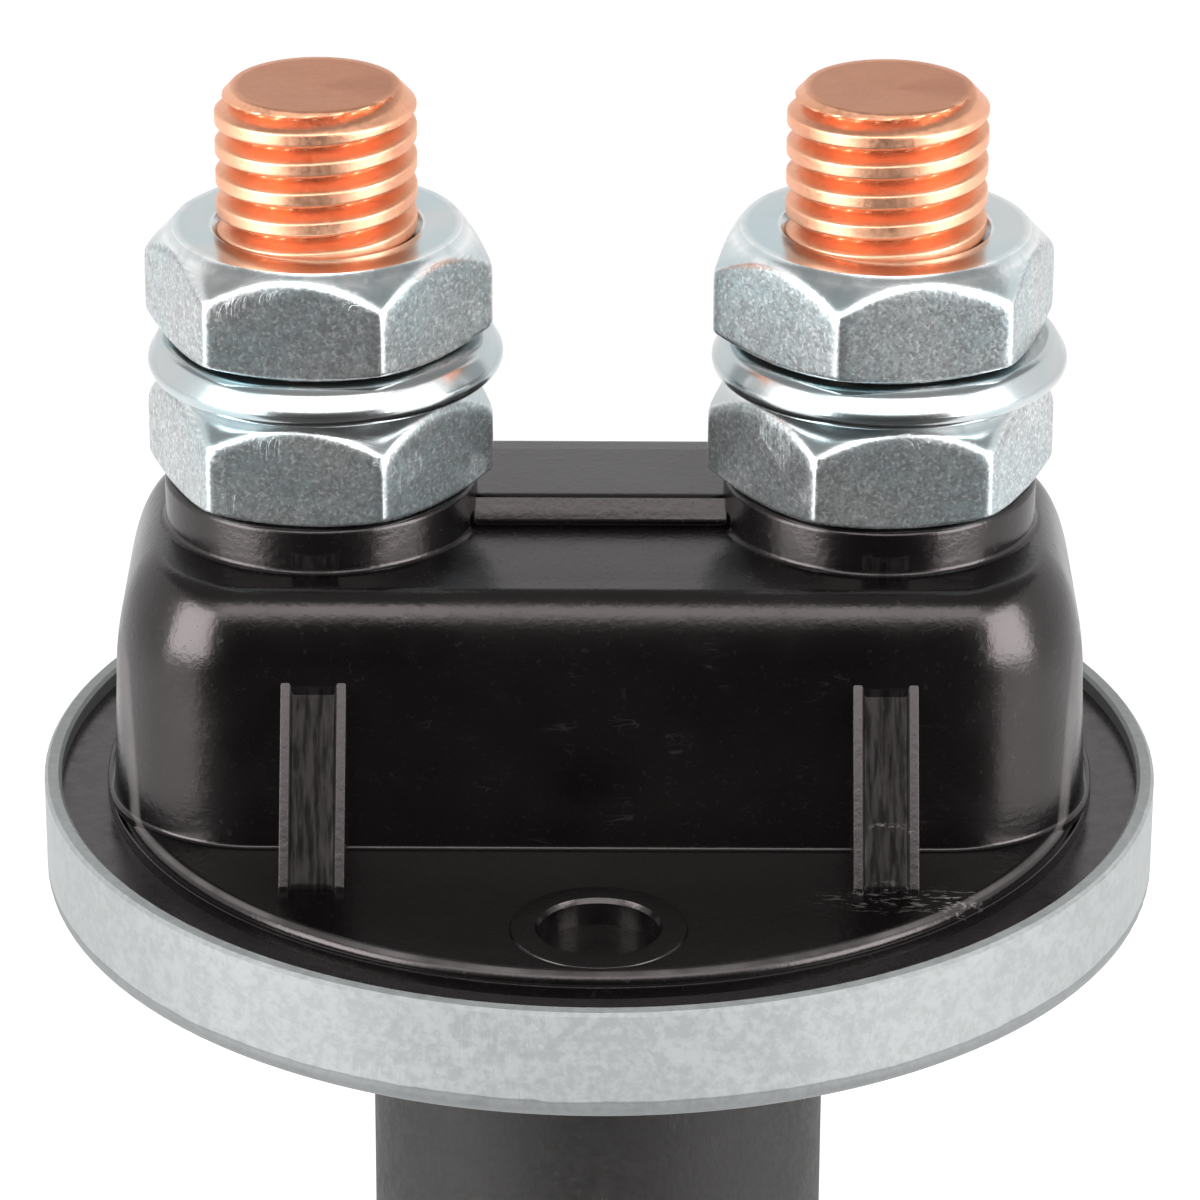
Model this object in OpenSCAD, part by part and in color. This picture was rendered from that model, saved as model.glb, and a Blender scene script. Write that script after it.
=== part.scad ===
// Heavy-duty battery disconnect switch, lever operated, with two copper terminal studs.
// Z runs along the lever's axis. Z = 0 is the face that lies against the panel, with the terminals above it
// and the lever below it. X runs from the left stud to the right stud. The lever is drawn at OFF.
// A cam on the lever's shaft lifts a copper bridge straight up against the heads of the two studs.

/* [Housing] */
// Outside diameter of the die-cast housing
housing_d = 72; // [70:0.5:80]
// Height of the housing's rim above the panel face
housing_h = 7.3; // [7.3:0.1:10]
// Wall of the rim at its open edge
rim_wall = 1.1; // [1:0.1:2]
// Thickness of the housing's floor
floor_t = 2.3; // [2.2:0.1:2.8]
// Rounding of the housing's edge at the panel face
edge_r = 1.0; // [0.5:0.1:2]

/* [Mounting stem] */
// Diameter over the stem's thread
stem_d = 19.05; // [18:0.05:20]
// Length of the stem below the panel face
stem_l = 9; // [8.8:0.1:12]
// Pitch of the stem's thread
stem_pitch = 1.588; // [1:0.001:2]
// Thickness of the panel that the stem goes through
panel_t = 3; // [2.5:0.1:3.2]
// Diameter of the index plate under the stem's nut
plate_d = 50; // [44:1:56]
// Thickness of the index plate
plate_t = 0.8; // [0.5:0.1:0.9]
// Thickness of the toothed washer under the stem's nut
tooth_washer_t = 0.8; // [0.5:0.1:0.9]
// Thickness of the stem's hexagon nut
stem_nut_h = 3.8; // [3:0.1:3.9]
// How far the lever's hub stands out past the corners of the stem's nut
nut_cover = 0.2; // [0.1:0.1:1.5]

/* [Base moulding] */
// Width of the retaining ring that shows between the rim and the round platform
ring_show_w = 3; // [2.4:0.1:3.6]
// Set-back of the terminal block's ends from the platform's edge
block_inset = 0.8; // [0.7:0.1:1.6]
// Depth of the terminal block at its foot
block_d = 29.4; // [28.6:0.1:32]
// Height of the terminal block above the platform
block_h = 16.7; // [16.2:0.1:20]
// Corner radius of the terminal block, seen from above
block_corner_r = 9.5; // [6:0.1:12]
// Rounding of the terminal block's top edge
block_top_r = 2.4; // [1:0.1:3]
// Lean of the block's sides from foot to top
block_draft = 0.7; // [0.2:0.1:1]
// Height of the platform above the retaining ring
platform_rise = 1.5; // [1:0.1:2.5]
// Diameter of the collars under the nuts
collar_d = 19.9; // [18:0.1:22]
// Height of the collars above the block's top
collar_h = 3; // [2:0.1:5]
// Width of the gusset ribs
rib_w = 4.1; // [3:0.1:6]
// Reach of the ribs along the platform
rib_reach = 6.2; // [4:0.1:7]
// Height of the ribs above the platform
rib_h = 11.6; // [8:0.1:13]
// Height of the pad between the collars
pad_h = 1.65; // [1:0.05:2.5]

/* [Terminals] */
// Distance from a stud's axis to the end of the terminal block
stud_edge = 13.3; // [12.9:0.1:13.9]
// Diameter over the thread of a terminal stud
stud_d = 12.6; // [12:0.05:13]
// Pitch of the stud's thread
stud_pitch = 1.954; // [1.5:0.001:2.2]
// Free thread above the upper nut
stud_free_l = 8.7; // [6:0.1:20]
// Width across the flats of the terminal nuts
nut_af = 19.4; // [18.5:0.05:20]
// Height of one terminal nut
nut_h = 7; // [5:0.1:11]
// Outside diameter of the spring lock washers
lock_washer_d = 22.4; // [20:0.1:24]
// Thickness of the spring lock washers
lock_washer_t = 2.75; // [2:0.05:4]

/* [Switching] */
// Angle that the lever turns through from OFF to ON
lever_turn = 90; // [80:1:90]
// Lift of the copper bridge over the whole turn
lift = 3; // [2:0.1:3]
// Diameter of the lever's shaft
shaft_d = 8; // [7:0.1:9]
// Thickness of the copper bridge
bridge_t = 2.3; // [2:0.1:3]
// Width of the copper bridge
bridge_w = 14; // [10:0.5:16]
// Thickness of the cam's disc
cam_t = 3; // [2.9:0.1:3.2]

/* [Lever] */
// Diameter of the lever's hub
hub_d = 29.8; // [26:0.1:34]
// Height of the hub
hub_h = 26.5; // [25:0.5:32]
// Length of the lever from its axis to its end
lever_l = 58; // [45:1:80]
// Thickness of the lever's arm
arm_t = 10.5; // [8:0.5:14]
// Width of the lever's arm at the hub
arm_root_w = 19; // [15:0.5:24]
// Width of the lever's arm at its end
arm_tip_w = 14; // [10:0.5:18]

/* [Hidden] */
// Gap of a running fit, on the radius
run_gap = 0.05;
// Gap between pieces that are moulded, pressed or bedded together
seat_gap = 0.02;
// Gap between pieces that pass each other
pass_gap = 0.3;
// Overrun of a cut
cut = 1;
// Small edge break on metal and moulded edges
edge_break = 0.3;
// Gap between a stop and what comes up against it
stop_gap = 0.6;

stud_r = stud_d / 2;
shaft_r = shaft_d / 2;
stem_r = stem_d / 2;

// Base moulding, gasket and retaining ring in the housing's cup
cup_r = housing_d / 2 - rim_wall;
gasket_t = 0.8;
flange_t = 1.7;
ring_t = 1.4;
ring_groove = 0.5;
gasket_w = 3.4;
flange_r = cup_r - pass_gap;
gasket_z = floor_t;
flange_z = gasket_z + gasket_t;
ring_z = flange_z + flange_t;
ring_top = ring_z + ring_t;
ring_open_angle = 9;
ring_hole_r = 0.9;
ring_hole_in = 2.4;
platform_z = ring_top + platform_rise;
platform_r = cup_r - ring_show_w;
platform_step = 0.3;
platform_edge_r = 0.5;
platform_step_h = platform_rise / 2;
block_w = 2 * (platform_r - block_inset);
block_z = platform_z + block_h;
collar_z = block_z + collar_h;
pad_z = block_z + pad_h;

// Terminal stack on each stud
stud_spacing = block_w - 2 * stud_edge;
lower_nut_z = collar_z;
lock_washer_z = lower_nut_z + nut_h;
upper_nut_z = lock_washer_z + lock_washer_t;
nut_top = upper_nut_z + nut_h;
stud_top = nut_top + stud_free_l;
thread_crest_share = 0.16;
thread_depth_share = 0.58;
pitch_radius_share = 0.325;
stud_tip_chamfer = 1;
// The engaged threads of stud and nut are drawn as plain walls at the thread's pitch radius
core_r = stud_r - stud_pitch * pitch_radius_share;
anchor_reach = 1;
anchor_r = core_r + anchor_reach;
anchor_t = 1;
nut_bore_r = core_r + run_gap;
nut_mouth_gap = 0.2;
nut_mouth_r = stud_r + nut_mouth_gap;
nut_mouth_h = 1;
// Angles that the nuts were tightened to
nuts_left_turn = 53;
lower_nut_right_turn = 6;
upper_nut_right_turn = 13;
lock_washer_clear = 0.45;
lock_washer_bore_r = stud_r + lock_washer_clear;
lock_washer_shift = 0.4;
lock_washer_slit = 1.2;
lock_washer_round = 0.9;

// Stack inside: thrust washer, cam, carrier, bridge and stud heads
thrust_t = 0.5;
thrust_r = 8.5;
cam_z = floor_t + thrust_t + seat_gap;
cam_top = cam_z + cam_t;
cam_r = 13.5;
cam_inner_r = 7.6;
cam_outer_r = 10.9;
lug_w = 3;
lug_half_angle = asin(lug_w / 2 / cam_inner_r);
ramp_low_angle = lug_half_angle + 4;
ramp_high_angle = lever_turn + lug_half_angle + 1;
ramp_steps = 24;
ramp_top = lift * ramp_high_angle / lever_turn;
lug_clear = 0.15;
lug_z = cam_top + lift * lug_half_angle / lever_turn + lug_clear;
carrier_t = 1.6;
carrier_z = cam_top + ramp_top + pass_gap;
carrier_top = carrier_z + carrier_t;
carrier_half_w = 20;
carrier_corner_r = 4;
contact_spring_l = 1.8;
bridge_z = carrier_top + contact_spring_l;
bridge_top = bridge_z + bridge_t;
contact_gap = lift + seat_gap;
head_t = 2.5;
head_r = 7.8;
head_z = bridge_top + contact_gap;
ceiling_z = head_z + head_t;
anchor_z = (ceiling_z + block_z) / 2 - anchor_t / 2;
bridge_end = 0.6;
bridge_half_l = stud_spacing / 2 + head_r - bridge_end;
post_w = 7;
clip_t = 0.8;
clip_r = 5;
clip_neck = 0.4;
post_end = 0.8;
post_top = bridge_top + clip_t + post_end;

// Cavity under the base moulding
side_wall = 3.2;
cavity_half_w = block_w / 2 - side_wall;
cavity_half_d = block_d / 2 - side_wall;
cavity_corner_r = 4;
guide_wall = 2.5;
guide_gap = 0.15;
guide_r = cam_r + guide_gap;
guide_outer_r = guide_r + guide_wall;
guide_top = cam_top - guide_gap;
pocket_gap = 0.9;
pocket_r = guide_outer_r + pocket_gap;
pocket_top = cam_top + pass_gap;
ramp_sweep_gap = 0.5;
ramp_sweep_r = cam_outer_r + ramp_sweep_gap;

// Springs: the return spring stands in the carrier's post and in a pocket of the ceiling
return_spring_r = 1.9;
return_wire_r = 0.35;
return_turns = 8;
spring_side_gap = 0.15;
post_bore_r = return_spring_r + return_wire_r + spring_side_gap;
post_bore_z = carrier_top;
spring_pocket_r = post_bore_r + pass_gap;
spring_pocket_h = 1.8;
spring_pocket_z = ceiling_z + spring_pocket_h;
contact_spring_r = 5.6;
contact_wire_r = 0.4;
contact_turns = 1.6;
spring_steps = 18;
wire_sides = 8;

// Detent balls in the rim of the cam
ball_r = 1.25;
ball_inset = 0.9;
ball_pitch_r = cam_r - ball_inset;
ball_pocket_r = ball_r + run_gap;
ball_z = cam_z + cam_t / 2;
ball_groove_r = ball_r + run_gap;
notch_depth = 0.2;
notch_r = ball_r + notch_depth;
notch_shift = 0.15;
ball_spring_r = 0.8;
ball_wire_r = 0.2;
ball_spring_turns = 5;
ball_spring_steps = 12;
ball_wire_sides = 6;
ball_spring_start = 8.2;
ball_spring_end = ball_pitch_r - ball_r - run_gap;

// Stop ear of the cam, in a window of the housing's guide wall
ear_angle = 225;
ear_w = 4;
ear_reach = guide_wall - guide_gap;
ear_half_angle = asin(ear_w / 2 / guide_r);
stop_angle = asin(stop_gap / guide_r);
ball_angles = [ear_angle + 125, ear_angle + 245];

// Shaft, its seal and its clip
square_w = shaft_d * 0.7;
shaft_clip_t = 0.7;
shaft_clip_r = 5.4;
shaft_clip_neck = 0.5;
shaft_end = 0.7;
shaft_top = cam_top + shaft_clip_t + shaft_end;
seal_section_r = 0.85;
gland_h = 1.8;
gland_r = shaft_r + run_gap + 2 * seal_section_r + seat_gap;

// Stack on the stem
plate_z = 0 - panel_t - plate_t;
tooth_washer_z = plate_z - tooth_washer_t;
stem_nut_z = tooth_washer_z - stem_nut_h;
stem_nut_af = (hub_d - 2 * nut_cover) * cos(30);
stem_flat = 1;
stem_gap = 0.15;
// The stem is plain and round next to the panel face, above its thread and its flat
stem_shoulder = panel_t / 2;
tooth_washer_d = 26;
tooth_l = 1.5;
tooth_w = 2.6;
teeth = 12;

// Hub and arm of the lever
hub_gap = 0.5;
hub_top = 0 - stem_l - hub_gap;
hub_z = hub_top - hub_h;
arm_round = 2;
hub_edge = 0.8;
screw_well_r = 5.4;
screw_well_h = 4.5;
screw_floor_t = 2.6;
shaft_low = hub_z + screw_well_h + screw_floor_t;
screw_r = 2.5;
screw_head_r = 4.6;
screw_head_h = 2.6;
screw_l = 9;
screw_slot_w = 1.2;
screw_slot_h = 1.2;
spring_washer_t = 1.1;

// A ring of rectangular section standing on z = 0
module ring(outer, inner, height) {
    difference() {
        cylinder(r = outer, h = height, $fn = 96);
        translate([0, 0, 0 - cut]) cylinder(r = inner, h = height + 2 * cut, $fn = 96);
    }
}

// A slab with round corners, centred on the axis and standing on z = 0
module round_slab(half_x, half_y, corner, height) {
    linear_extrude(height)
        union() {
            square([2 * (half_x - corner), 2 * half_y], center = true);
            square([2 * half_x, 2 * (half_y - corner)], center = true);
            for (sx = [-1, 1], sy = [-1, 1])
                translate([sx * (half_x - corner), sy * (half_y - corner)]) circle(r = corner, $fn = 48);
        }
}

// A hexagon nut standing on z = 0, with both faces chamfered round the corners and a wide mouth to its bore
module hex_nut(across_flats, height, bore_r, mouth_r, mouth_h) {
    corner_r = across_flats / 2 / cos(30);
    face_r = across_flats / 2 - edge_break;
    rise = (corner_r - face_r) * tan(30);
    lean = (mouth_r - bore_r) / mouth_h * cut;
    difference() {
        intersection() {
            cylinder(r = corner_r, h = height, $fn = 6);
            rotate_extrude($fn = 96)
                polygon([[0, 0], [face_r, 0], [corner_r, rise], [corner_r, height - rise],
                    [face_r, height], [0, height]]);
        }
        translate([0, 0, 0 - cut]) cylinder(r = bore_r, h = height + 2 * cut, $fn = 96);
        translate([0, 0, 0 - cut]) cylinder(r1 = mouth_r + lean, r2 = bore_r, h = mouth_h + cut, $fn = 96);
        translate([0, 0, height - mouth_h])
            cylinder(r1 = bore_r, r2 = mouth_r + lean, h = mouth_h + cut, $fn = 96);
    }
}

// Half the section of a threaded rod, from z = low to z = high, with one vee groove to each pitch
function thread_section(r, low, high, pitch) =
    let (
        depth = pitch * thread_depth_share,
        crest = pitch * thread_crest_share,
        turns = floor((high - low) / pitch - thread_crest_share)
    )
    concat(
        [[0, low], [r, low]],
        [for (i = [0:turns - 1]) each [
            [r, low + crest + i * pitch],
            [r - depth, low + crest + (i + 0.5 - thread_crest_share / 2) * pitch],
            [r, low + (i + 1) * pitch]
        ]],
        [[r, high], [0, high]]
    );

// A helical spring of round wire along z, from z = low to z = high over its wire
module coil_spring(mean_r, wire, low, high, turns, steps, sides) {
    count = round(turns * steps);
    climb = high - low - 2 * wire;
    points = [for (i = [0:count], j = [0:sides - 1])
        let (
            around = i * 360 / steps,
            section = j * 360 / sides,
            r = mean_r + wire * cos(section)
        )
        [r * cos(around), r * sin(around), low + wire + climb * i / count + wire * sin(section)]];
    skin = [for (i = [0:count - 1], j = [0:sides - 1])
        let (
            a = i * sides + j,
            b = i * sides + (j + 1) % sides
        )
        each [[a, b, b + sides], [a, b + sides, a + sides]]];
    first_end = [for (j = [1:sides - 2]) [0, j + 1, j]];
    last = count * sides;
    last_end = [for (j = [1:sides - 2]) [last, last + j, last + j + 1]];
    polyhedron(points, concat(skin, first_end, last_end));
}

// One helical ramp of the cam, highest at its clockwise end
module cam_ramp() {
    sweep = ramp_low_angle + ramp_high_angle;
    low_z = cam_top - cam_t / 2;
    points = [for (i = [0:ramp_steps])
        let (
            angle = ramp_low_angle - sweep * i / ramp_steps,
            top = cam_top + max(0, 0 - angle) * lift / lever_turn
        )
        each [
            [cam_inner_r * cos(angle), cam_inner_r * sin(angle), low_z],
            [cam_outer_r * cos(angle), cam_outer_r * sin(angle), low_z],
            [cam_outer_r * cos(angle), cam_outer_r * sin(angle), top],
            [cam_inner_r * cos(angle), cam_inner_r * sin(angle), top]
        ]];
    skin = [for (i = [0:ramp_steps - 1], j = [0:3])
        let (
            a = i * 4 + j,
            b = i * 4 + (j + 1) % 4
        )
        each [[a, b + 4, b], [a, a + 4, b + 4]]];
    last = ramp_steps * 4;
    ends = [[0, 1, 2], [0, 2, 3], [last, last + 2, last + 1], [last, last + 3, last + 2]];
    polyhedron(points, concat(skin, ends));
}

// A wedge from the axis outwards, from one angle to another, for cutting windows
module sector(from, to, reach, height) {
    steps = 8;
    linear_extrude(height)
        polygon(concat([[0, 0]], [for (i = [0:steps])
            let (angle = from + (to - from) * i / steps)
            [reach * cos(angle), reach * sin(angle)]]));
}

// The die-cast cup, its mounting stem and the guide wall round the cam
module housing() {
    outer_r = housing_d / 2;
    color("lightgray")
        difference() {
            union() {
                rotate_extrude($fn = 180)
                    difference() {
                        union() {
                            translate([0, edge_r]) square([outer_r, housing_h - edge_r]);
                            square([outer_r - edge_r, housing_h]);
                            translate([outer_r - edge_r, edge_r]) circle(r = edge_r, $fn = 48);
                        }
                        translate([0, floor_t]) square([cup_r, housing_h]);
                        translate([0, ring_z]) square([cup_r + ring_groove, ring_t]);
                        translate([outer_r, housing_h]) rotate(45) square(edge_break, center = true);
                        translate([cup_r, housing_h]) rotate(45) square(edge_break, center = true);
                        translate([0 - outer_r, 0]) square([outer_r, housing_h]);
                    }
                translate([0, 0, 0 - stem_l])
                    rotate_extrude($fn = 96)
                        polygon(thread_section(stem_r, 0, stem_l - stem_shoulder, stem_pitch));
                translate([0, 0, 0 - stem_shoulder])
                    cylinder(r = stem_r, h = stem_shoulder + floor_t / 2, $fn = 96);
                translate([0, 0, floor_t - edge_break])
                    ring(guide_outer_r, guide_r, guide_top - floor_t + edge_break);
            }
            translate([0, 0, 0 - stem_l - cut])
                cylinder(r = shaft_r + run_gap, h = stem_l + floor_t + 2 * cut, $fn = 96);
            translate([0, 0, floor_t - gland_h]) cylinder(r = gland_r, h = gland_h + cut, $fn = 96);
            translate([0 - stem_r, stem_r - stem_flat, 0 - stem_l - cut])
                cube([stem_d, stem_flat + cut, stem_l + cut - stem_shoulder]);
            translate([0, 0, floor_t])
                difference() {
                    sector(ear_angle - ear_half_angle - stop_angle,
                        ear_angle + lever_turn + ear_half_angle + stop_angle,
                        guide_outer_r + guide_wall, cam_t + cut);
                    cylinder(r = cam_inner_r, h = cam_t + 2 * cut, $fn = 96);
                }
            translate([0, 0, ball_z])
                rotate_extrude($fn = 96) translate([ball_pitch_r, 0]) circle(r = ball_groove_r, $fn = 48);
            for (angle = ball_angles, at = [0, lever_turn])
                rotate(angle + at)
                    translate([ball_pitch_r + notch_shift, 0, ball_z]) sphere(r = notch_r, $fn = 48);
        }
}

// The outside of the terminal block: upright corners, leaning sides and a round top edge
module block_body() {
    top_x = block_w / 2 - block_draft;
    top_y = block_d / 2 - block_draft;
    corner = block_corner_r;
    hull()
        for (sx = [-1, 1], sy = [-1, 1]) {
            translate([sx * (block_w / 2 - corner), sy * (block_d / 2 - corner), platform_z - cut])
                cylinder(r = corner, h = cut, $fn = 36);
            translate([sx * (top_x - corner), sy * (top_y - corner), block_z - block_top_r])
                rotate_extrude($fn = 36)
                    intersection() {
                        translate([corner - block_top_r, 0]) circle(r = block_top_r, $fn = 24);
                        square([corner, block_top_r]);
                    }
        }
}

// One gusset rib on the block's long side
module rib() {
    foot_y = block_d / 2 + rib_reach;
    wall_y = block_d / 2 - block_draft - platform_step;
    translate([0 - rib_w / 2, 0, 0])
        rotate([90, 0, 90])
            linear_extrude(rib_w)
                polygon([[wall_y, platform_z - platform_step], [foot_y, platform_z - platform_step],
                    [foot_y, platform_z + edge_break], [wall_y, platform_z + rib_h]]);
}

// The black moulding that carries the studs: flange, platform, block, ribs, collars and the cavity under them
module base_moulding() {
    lip = 1;
    pad_front = 1;
    pad_back = 7;
    groove_w = 0.9;
    groove_h = 0.4;
    pad_half_w = stud_spacing / 2 - collar_d / 2 + cut;
    dimple_r = 3.8;
    dimple_floor_r = 3;
    dimple_h = 1.6;
    dimple_ring_r = 5.45;
    dimple_ring_h = 0.12;
    dimple_y = platform_r - dimple_ring_r - edge_break * 3;
    color([0.06, 0.06, 0.065])
        difference() {
            union() {
                rotate_extrude($fn = 180)
                    difference() {
                        union() {
                            translate([0, flange_z]) square([flange_r, flange_t]);
                            translate([0, flange_z])
                                square([platform_r, flange_t + ring_t + platform_step_h]);
                            translate([0, flange_z])
                                square([platform_r - platform_step, platform_z - flange_z - platform_edge_r]);
                            translate([0, flange_z])
                                square([platform_r - platform_step - platform_edge_r, platform_z - flange_z]);
                            translate([platform_r - platform_step, platform_z] - [1, 1] * platform_edge_r)
                                circle(r = platform_edge_r, $fn = 32);
                        }
                        translate([platform_r, ring_z]) square([flange_r, ring_t]);
                    }
                block_body();
                for (side = [-1, 1]) {
                    translate([side * stud_spacing / 2, 0, block_z - lip])
                        rotate_extrude($fn = 96)
                            polygon([[0, 0], [collar_d / 2, 0], [collar_d / 2, collar_h + lip - edge_break],
                                [collar_d / 2 - edge_break, collar_h + lip], [0, collar_h + lip]]);
                    for (x = [-1, 1])
                        translate([x * stud_spacing / 2, 0, 0]) rotate(side < 0 ? 180 : 0) rib();
                    translate([0, side * dimple_y, platform_z - dimple_ring_h])
                        cylinder(r = dimple_ring_r, h = 2 * dimple_ring_h, $fn = 64);
                }
                translate([0 - pad_half_w, 0 - pad_front, block_z - lip])
                    cube([2 * pad_half_w, pad_front + pad_back, pad_h + lip]);
            }
            translate([0 - pad_half_w, 0 - pad_front - 2 * groove_w, block_z - groove_h])
                cube([2 * pad_half_w, groove_w, groove_h + pad_h]);
            translate([0, 0, flange_z - cut])
                round_slab(cavity_half_w, cavity_half_d, cavity_corner_r, ceiling_z - flange_z + cut);
            translate([0, 0, flange_z - cut])
                cylinder(r = pocket_r, h = pocket_top - flange_z + cut, $fn = 96);
            translate([0, 0, flange_z]) cylinder(r = ramp_sweep_r, h = carrier_z - flange_z, $fn = 96);
            translate([0, 0, ceiling_z - cut])
                cylinder(r = spring_pocket_r, h = spring_pocket_h + cut, $fn = 96);
            for (side = [-1, 1]) {
                translate([side * stud_spacing / 2, 0, 0]) stud_hole();
                translate([0, side * dimple_y, platform_z - dimple_h])
                    cylinder(r1 = dimple_floor_r, r2 = dimple_r, h = dimple_h + 2 * dimple_ring_h, $fn = 64);
            }
        }
}

// What the moulding leaves free for one stud
module stud_hole() {
    translate([0, 0, ceiling_z - cut])
        cylinder(r = core_r + seat_gap, h = collar_z - ceiling_z + 2 * cut, $fn = 96);
    translate([0, 0, anchor_z - seat_gap])
        cylinder(r = anchor_r + seat_gap, h = anchor_t + 2 * seat_gap, $fn = 96);
}

// The sealing gasket between the housing's floor and the moulding's flange
module base_gasket() {
    color([0.12, 0.12, 0.12]) translate([0, 0, gasket_z]) ring(flange_r, flange_r - gasket_w, gasket_t);
}

// The black snap ring that holds the moulding in the cup, open at the back between its two lugs
module retaining_ring() {
    inner_r = platform_r + seat_gap;
    hole_at = (inner_r + cup_r) / 2;
    color([0.08, 0.08, 0.085])
        translate([0, 0, ring_z])
            difference() {
                ring(cup_r + ring_groove - seat_gap, inner_r, ring_t);
                translate([0, 0, 0 - cut])
                    sector(90 - ring_open_angle / 2, 90 + ring_open_angle / 2, housing_d, ring_t + 2 * cut);
                for (side = [-1, 1])
                    rotate(90 + side * (ring_open_angle / 2 + asin(ring_hole_in / hole_at)))
                        translate([hole_at, 0, 0 - cut])
                            cylinder(r = ring_hole_r, h = ring_t + 2 * cut, $fn = 32);
            }
}

// A copper terminal stud: contact head, plain shank with its locking collar, and the thread
module terminal_stud() {
    chamfer_r = stud_r - stud_tip_chamfer;
    tip = stud_top - head_z;
    color("peru")
        union() {
            translate([0, 0, head_z])
                rotate_extrude($fn = 96)
                    polygon([[0, 0], [head_r - edge_break, 0], [head_r, edge_break],
                        [head_r, head_t], [0, head_t]]);
            translate([0, 0, head_z]) cylinder(r = core_r, h = nut_top - head_z, $fn = 96);
            translate([0, 0, anchor_z]) cylinder(r = anchor_r, h = anchor_t, $fn = 96);
            intersection() {
                translate([0, 0, nut_top])
                    rotate_extrude($fn = 96) polygon(thread_section(stud_r, 0, stud_free_l, stud_pitch));
                translate([0, 0, head_z])
                    rotate_extrude($fn = 96)
                        polygon([[0, 0], [stud_r + cut, 0], [stud_r + cut, tip - stud_tip_chamfer - cut],
                            [chamfer_r, tip], [0, tip]]);
            }
        }
}

// A spring lock washer, cut through on its right side
module lock_washer() {
    outer = lock_washer_d / 2;
    color("lightsteelblue")
        translate([lock_washer_shift, 0, lock_washer_z])
            difference() {
                rotate_extrude($fn = 96)
                    union() {
                        translate([lock_washer_bore_r, 0])
                            square([outer - lock_washer_bore_r - lock_washer_round, lock_washer_t]);
                        translate([lock_washer_bore_r, lock_washer_round])
                            square([outer - lock_washer_bore_r, lock_washer_t - 2 * lock_washer_round]);
                        for (z = [lock_washer_round, lock_washer_t - lock_washer_round])
                            translate([outer - lock_washer_round, z]) circle(r = lock_washer_round, $fn = 32);
                    }
                rotate([0, 0, 90])
                    translate([lock_washer_bore_r - cut, 0 - lock_washer_slit / 2, 0])
                        rotate([30, 0, 0])
                            translate([0, 0, 0 - lock_washer_t])
                                cube([outer, lock_washer_slit, 3 * lock_washer_t]);
            }
}

// A terminal nut at a height, turned to the angle that it was tightened to
module terminal_nut(height, turn) {
    color("lightsteelblue")
        translate([0, 0, height]) rotate(turn) hex_nut(nut_af, nut_h, nut_bore_r, nut_mouth_r, nut_mouth_h);
}

// The printed ON and OFF plate, keyed to the flat on the stem
module index_plate() {
    color("gainsboro")
        translate([0, 0, plate_z])
            difference() {
                cylinder(r = plate_d / 2, h = plate_t, $fn = 128);
                keyed_hole(plate_t);
            }
}

// A hole that fits the stem and its flat
module keyed_hole(height) {
    translate([0, 0, 0 - cut])
        difference() {
            cylinder(r = stem_r + stem_gap, h = height + 2 * cut, $fn = 96);
            translate([0 - stem_d, stem_r - stem_flat + stem_gap, 0])
                cube([2 * stem_d, stem_d, height + 2 * cut]);
        }
}

// The toothed lock washer between index plate and nut
module tooth_washer() {
    ring_r = tooth_washer_d / 2 - tooth_l;
    color("silver")
        translate([0, 0, tooth_washer_z])
            union() {
                ring(ring_r, stem_r + stem_gap, tooth_washer_t);
                for (i = [0:teeth - 1])
                    rotate(i * 360 / teeth)
                        translate([ring_r - edge_break, 0 - tooth_w / 2, 0])
                            cube([tooth_l + edge_break, tooth_w, tooth_washer_t]);
            }
}

// The thin hexagon nut on the stem
module stem_nut() {
    color("silver")
        translate([0, 0, stem_nut_z])
            hex_nut(stem_nut_af, stem_nut_h, stem_r + stem_gap, stem_r + stem_gap + edge_break, edge_break);
}

// The lever's shaft, square where it carries the cam and the lever
module shaft() {
    color("gray")
        difference() {
            union() {
                translate([0, 0, hub_top - edge_break])
                    cylinder(r = shaft_r, h = cam_z - hub_top + edge_break, $fn = 96);
                translate([0 - square_w / 2, 0 - square_w / 2, cam_z - cut])
                    cube([square_w, square_w, shaft_top - cam_z + cut]);
                translate([0 - square_w / 2, 0 - square_w / 2, shaft_low])
                    cube([square_w, square_w, hub_top - shaft_low]);
            }
            translate([0, 0, cam_top])
                ring(shaft_d, square_w / 2 - shaft_clip_neck, shaft_clip_t + seat_gap);
            translate([0, 0, shaft_low - cut]) cylinder(r = screw_r + seat_gap, h = screw_l + cut, $fn = 48);
        }
}

// The O-ring that seals the shaft in the housing
module shaft_seal() {
    color([0.1, 0.1, 0.1])
        translate([0, 0, floor_t - gland_h + seal_section_r])
            rotate_extrude($fn = 96)
                translate([shaft_r + run_gap + seal_section_r, 0]) circle(r = seal_section_r, $fn = 32);
}

// The washer that the cam turns on, which also closes the seal's gland
module thrust_washer() {
    color("khaki") translate([0, 0, floor_t]) ring(thrust_r, shaft_r + 2 * run_gap, thrust_t);
}

// The cam: a disc with two helical ramps, a stop ear and two pockets for the detent balls
module cam_rotor() {
    color("ivory")
        difference() {
            union() {
                translate([0, 0, cam_z]) cylinder(r = cam_r, h = cam_t, $fn = 128);
                for (turn = [0, 180]) rotate(turn) cam_ramp();
                rotate(ear_angle)
                    translate([cam_r - cut, 0 - ear_w / 2, cam_z + pass_gap])
                        cube([guide_r + ear_reach - cam_r + cut, ear_w, cam_t - 2 * pass_gap]);
            }
            translate([0 - square_w / 2 - seat_gap, 0 - square_w / 2 - seat_gap, cam_z - cut])
                cube([square_w + 2 * seat_gap, square_w + 2 * seat_gap, cam_t + 2 * cut]);
            for (angle = ball_angles)
                rotate(angle)
                    translate([ball_spring_start - seat_gap, 0, ball_z])
                        rotate([0, 90, 0]) cylinder(r = ball_pocket_r, h = cam_r, $fn = 48);
        }
}

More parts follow.
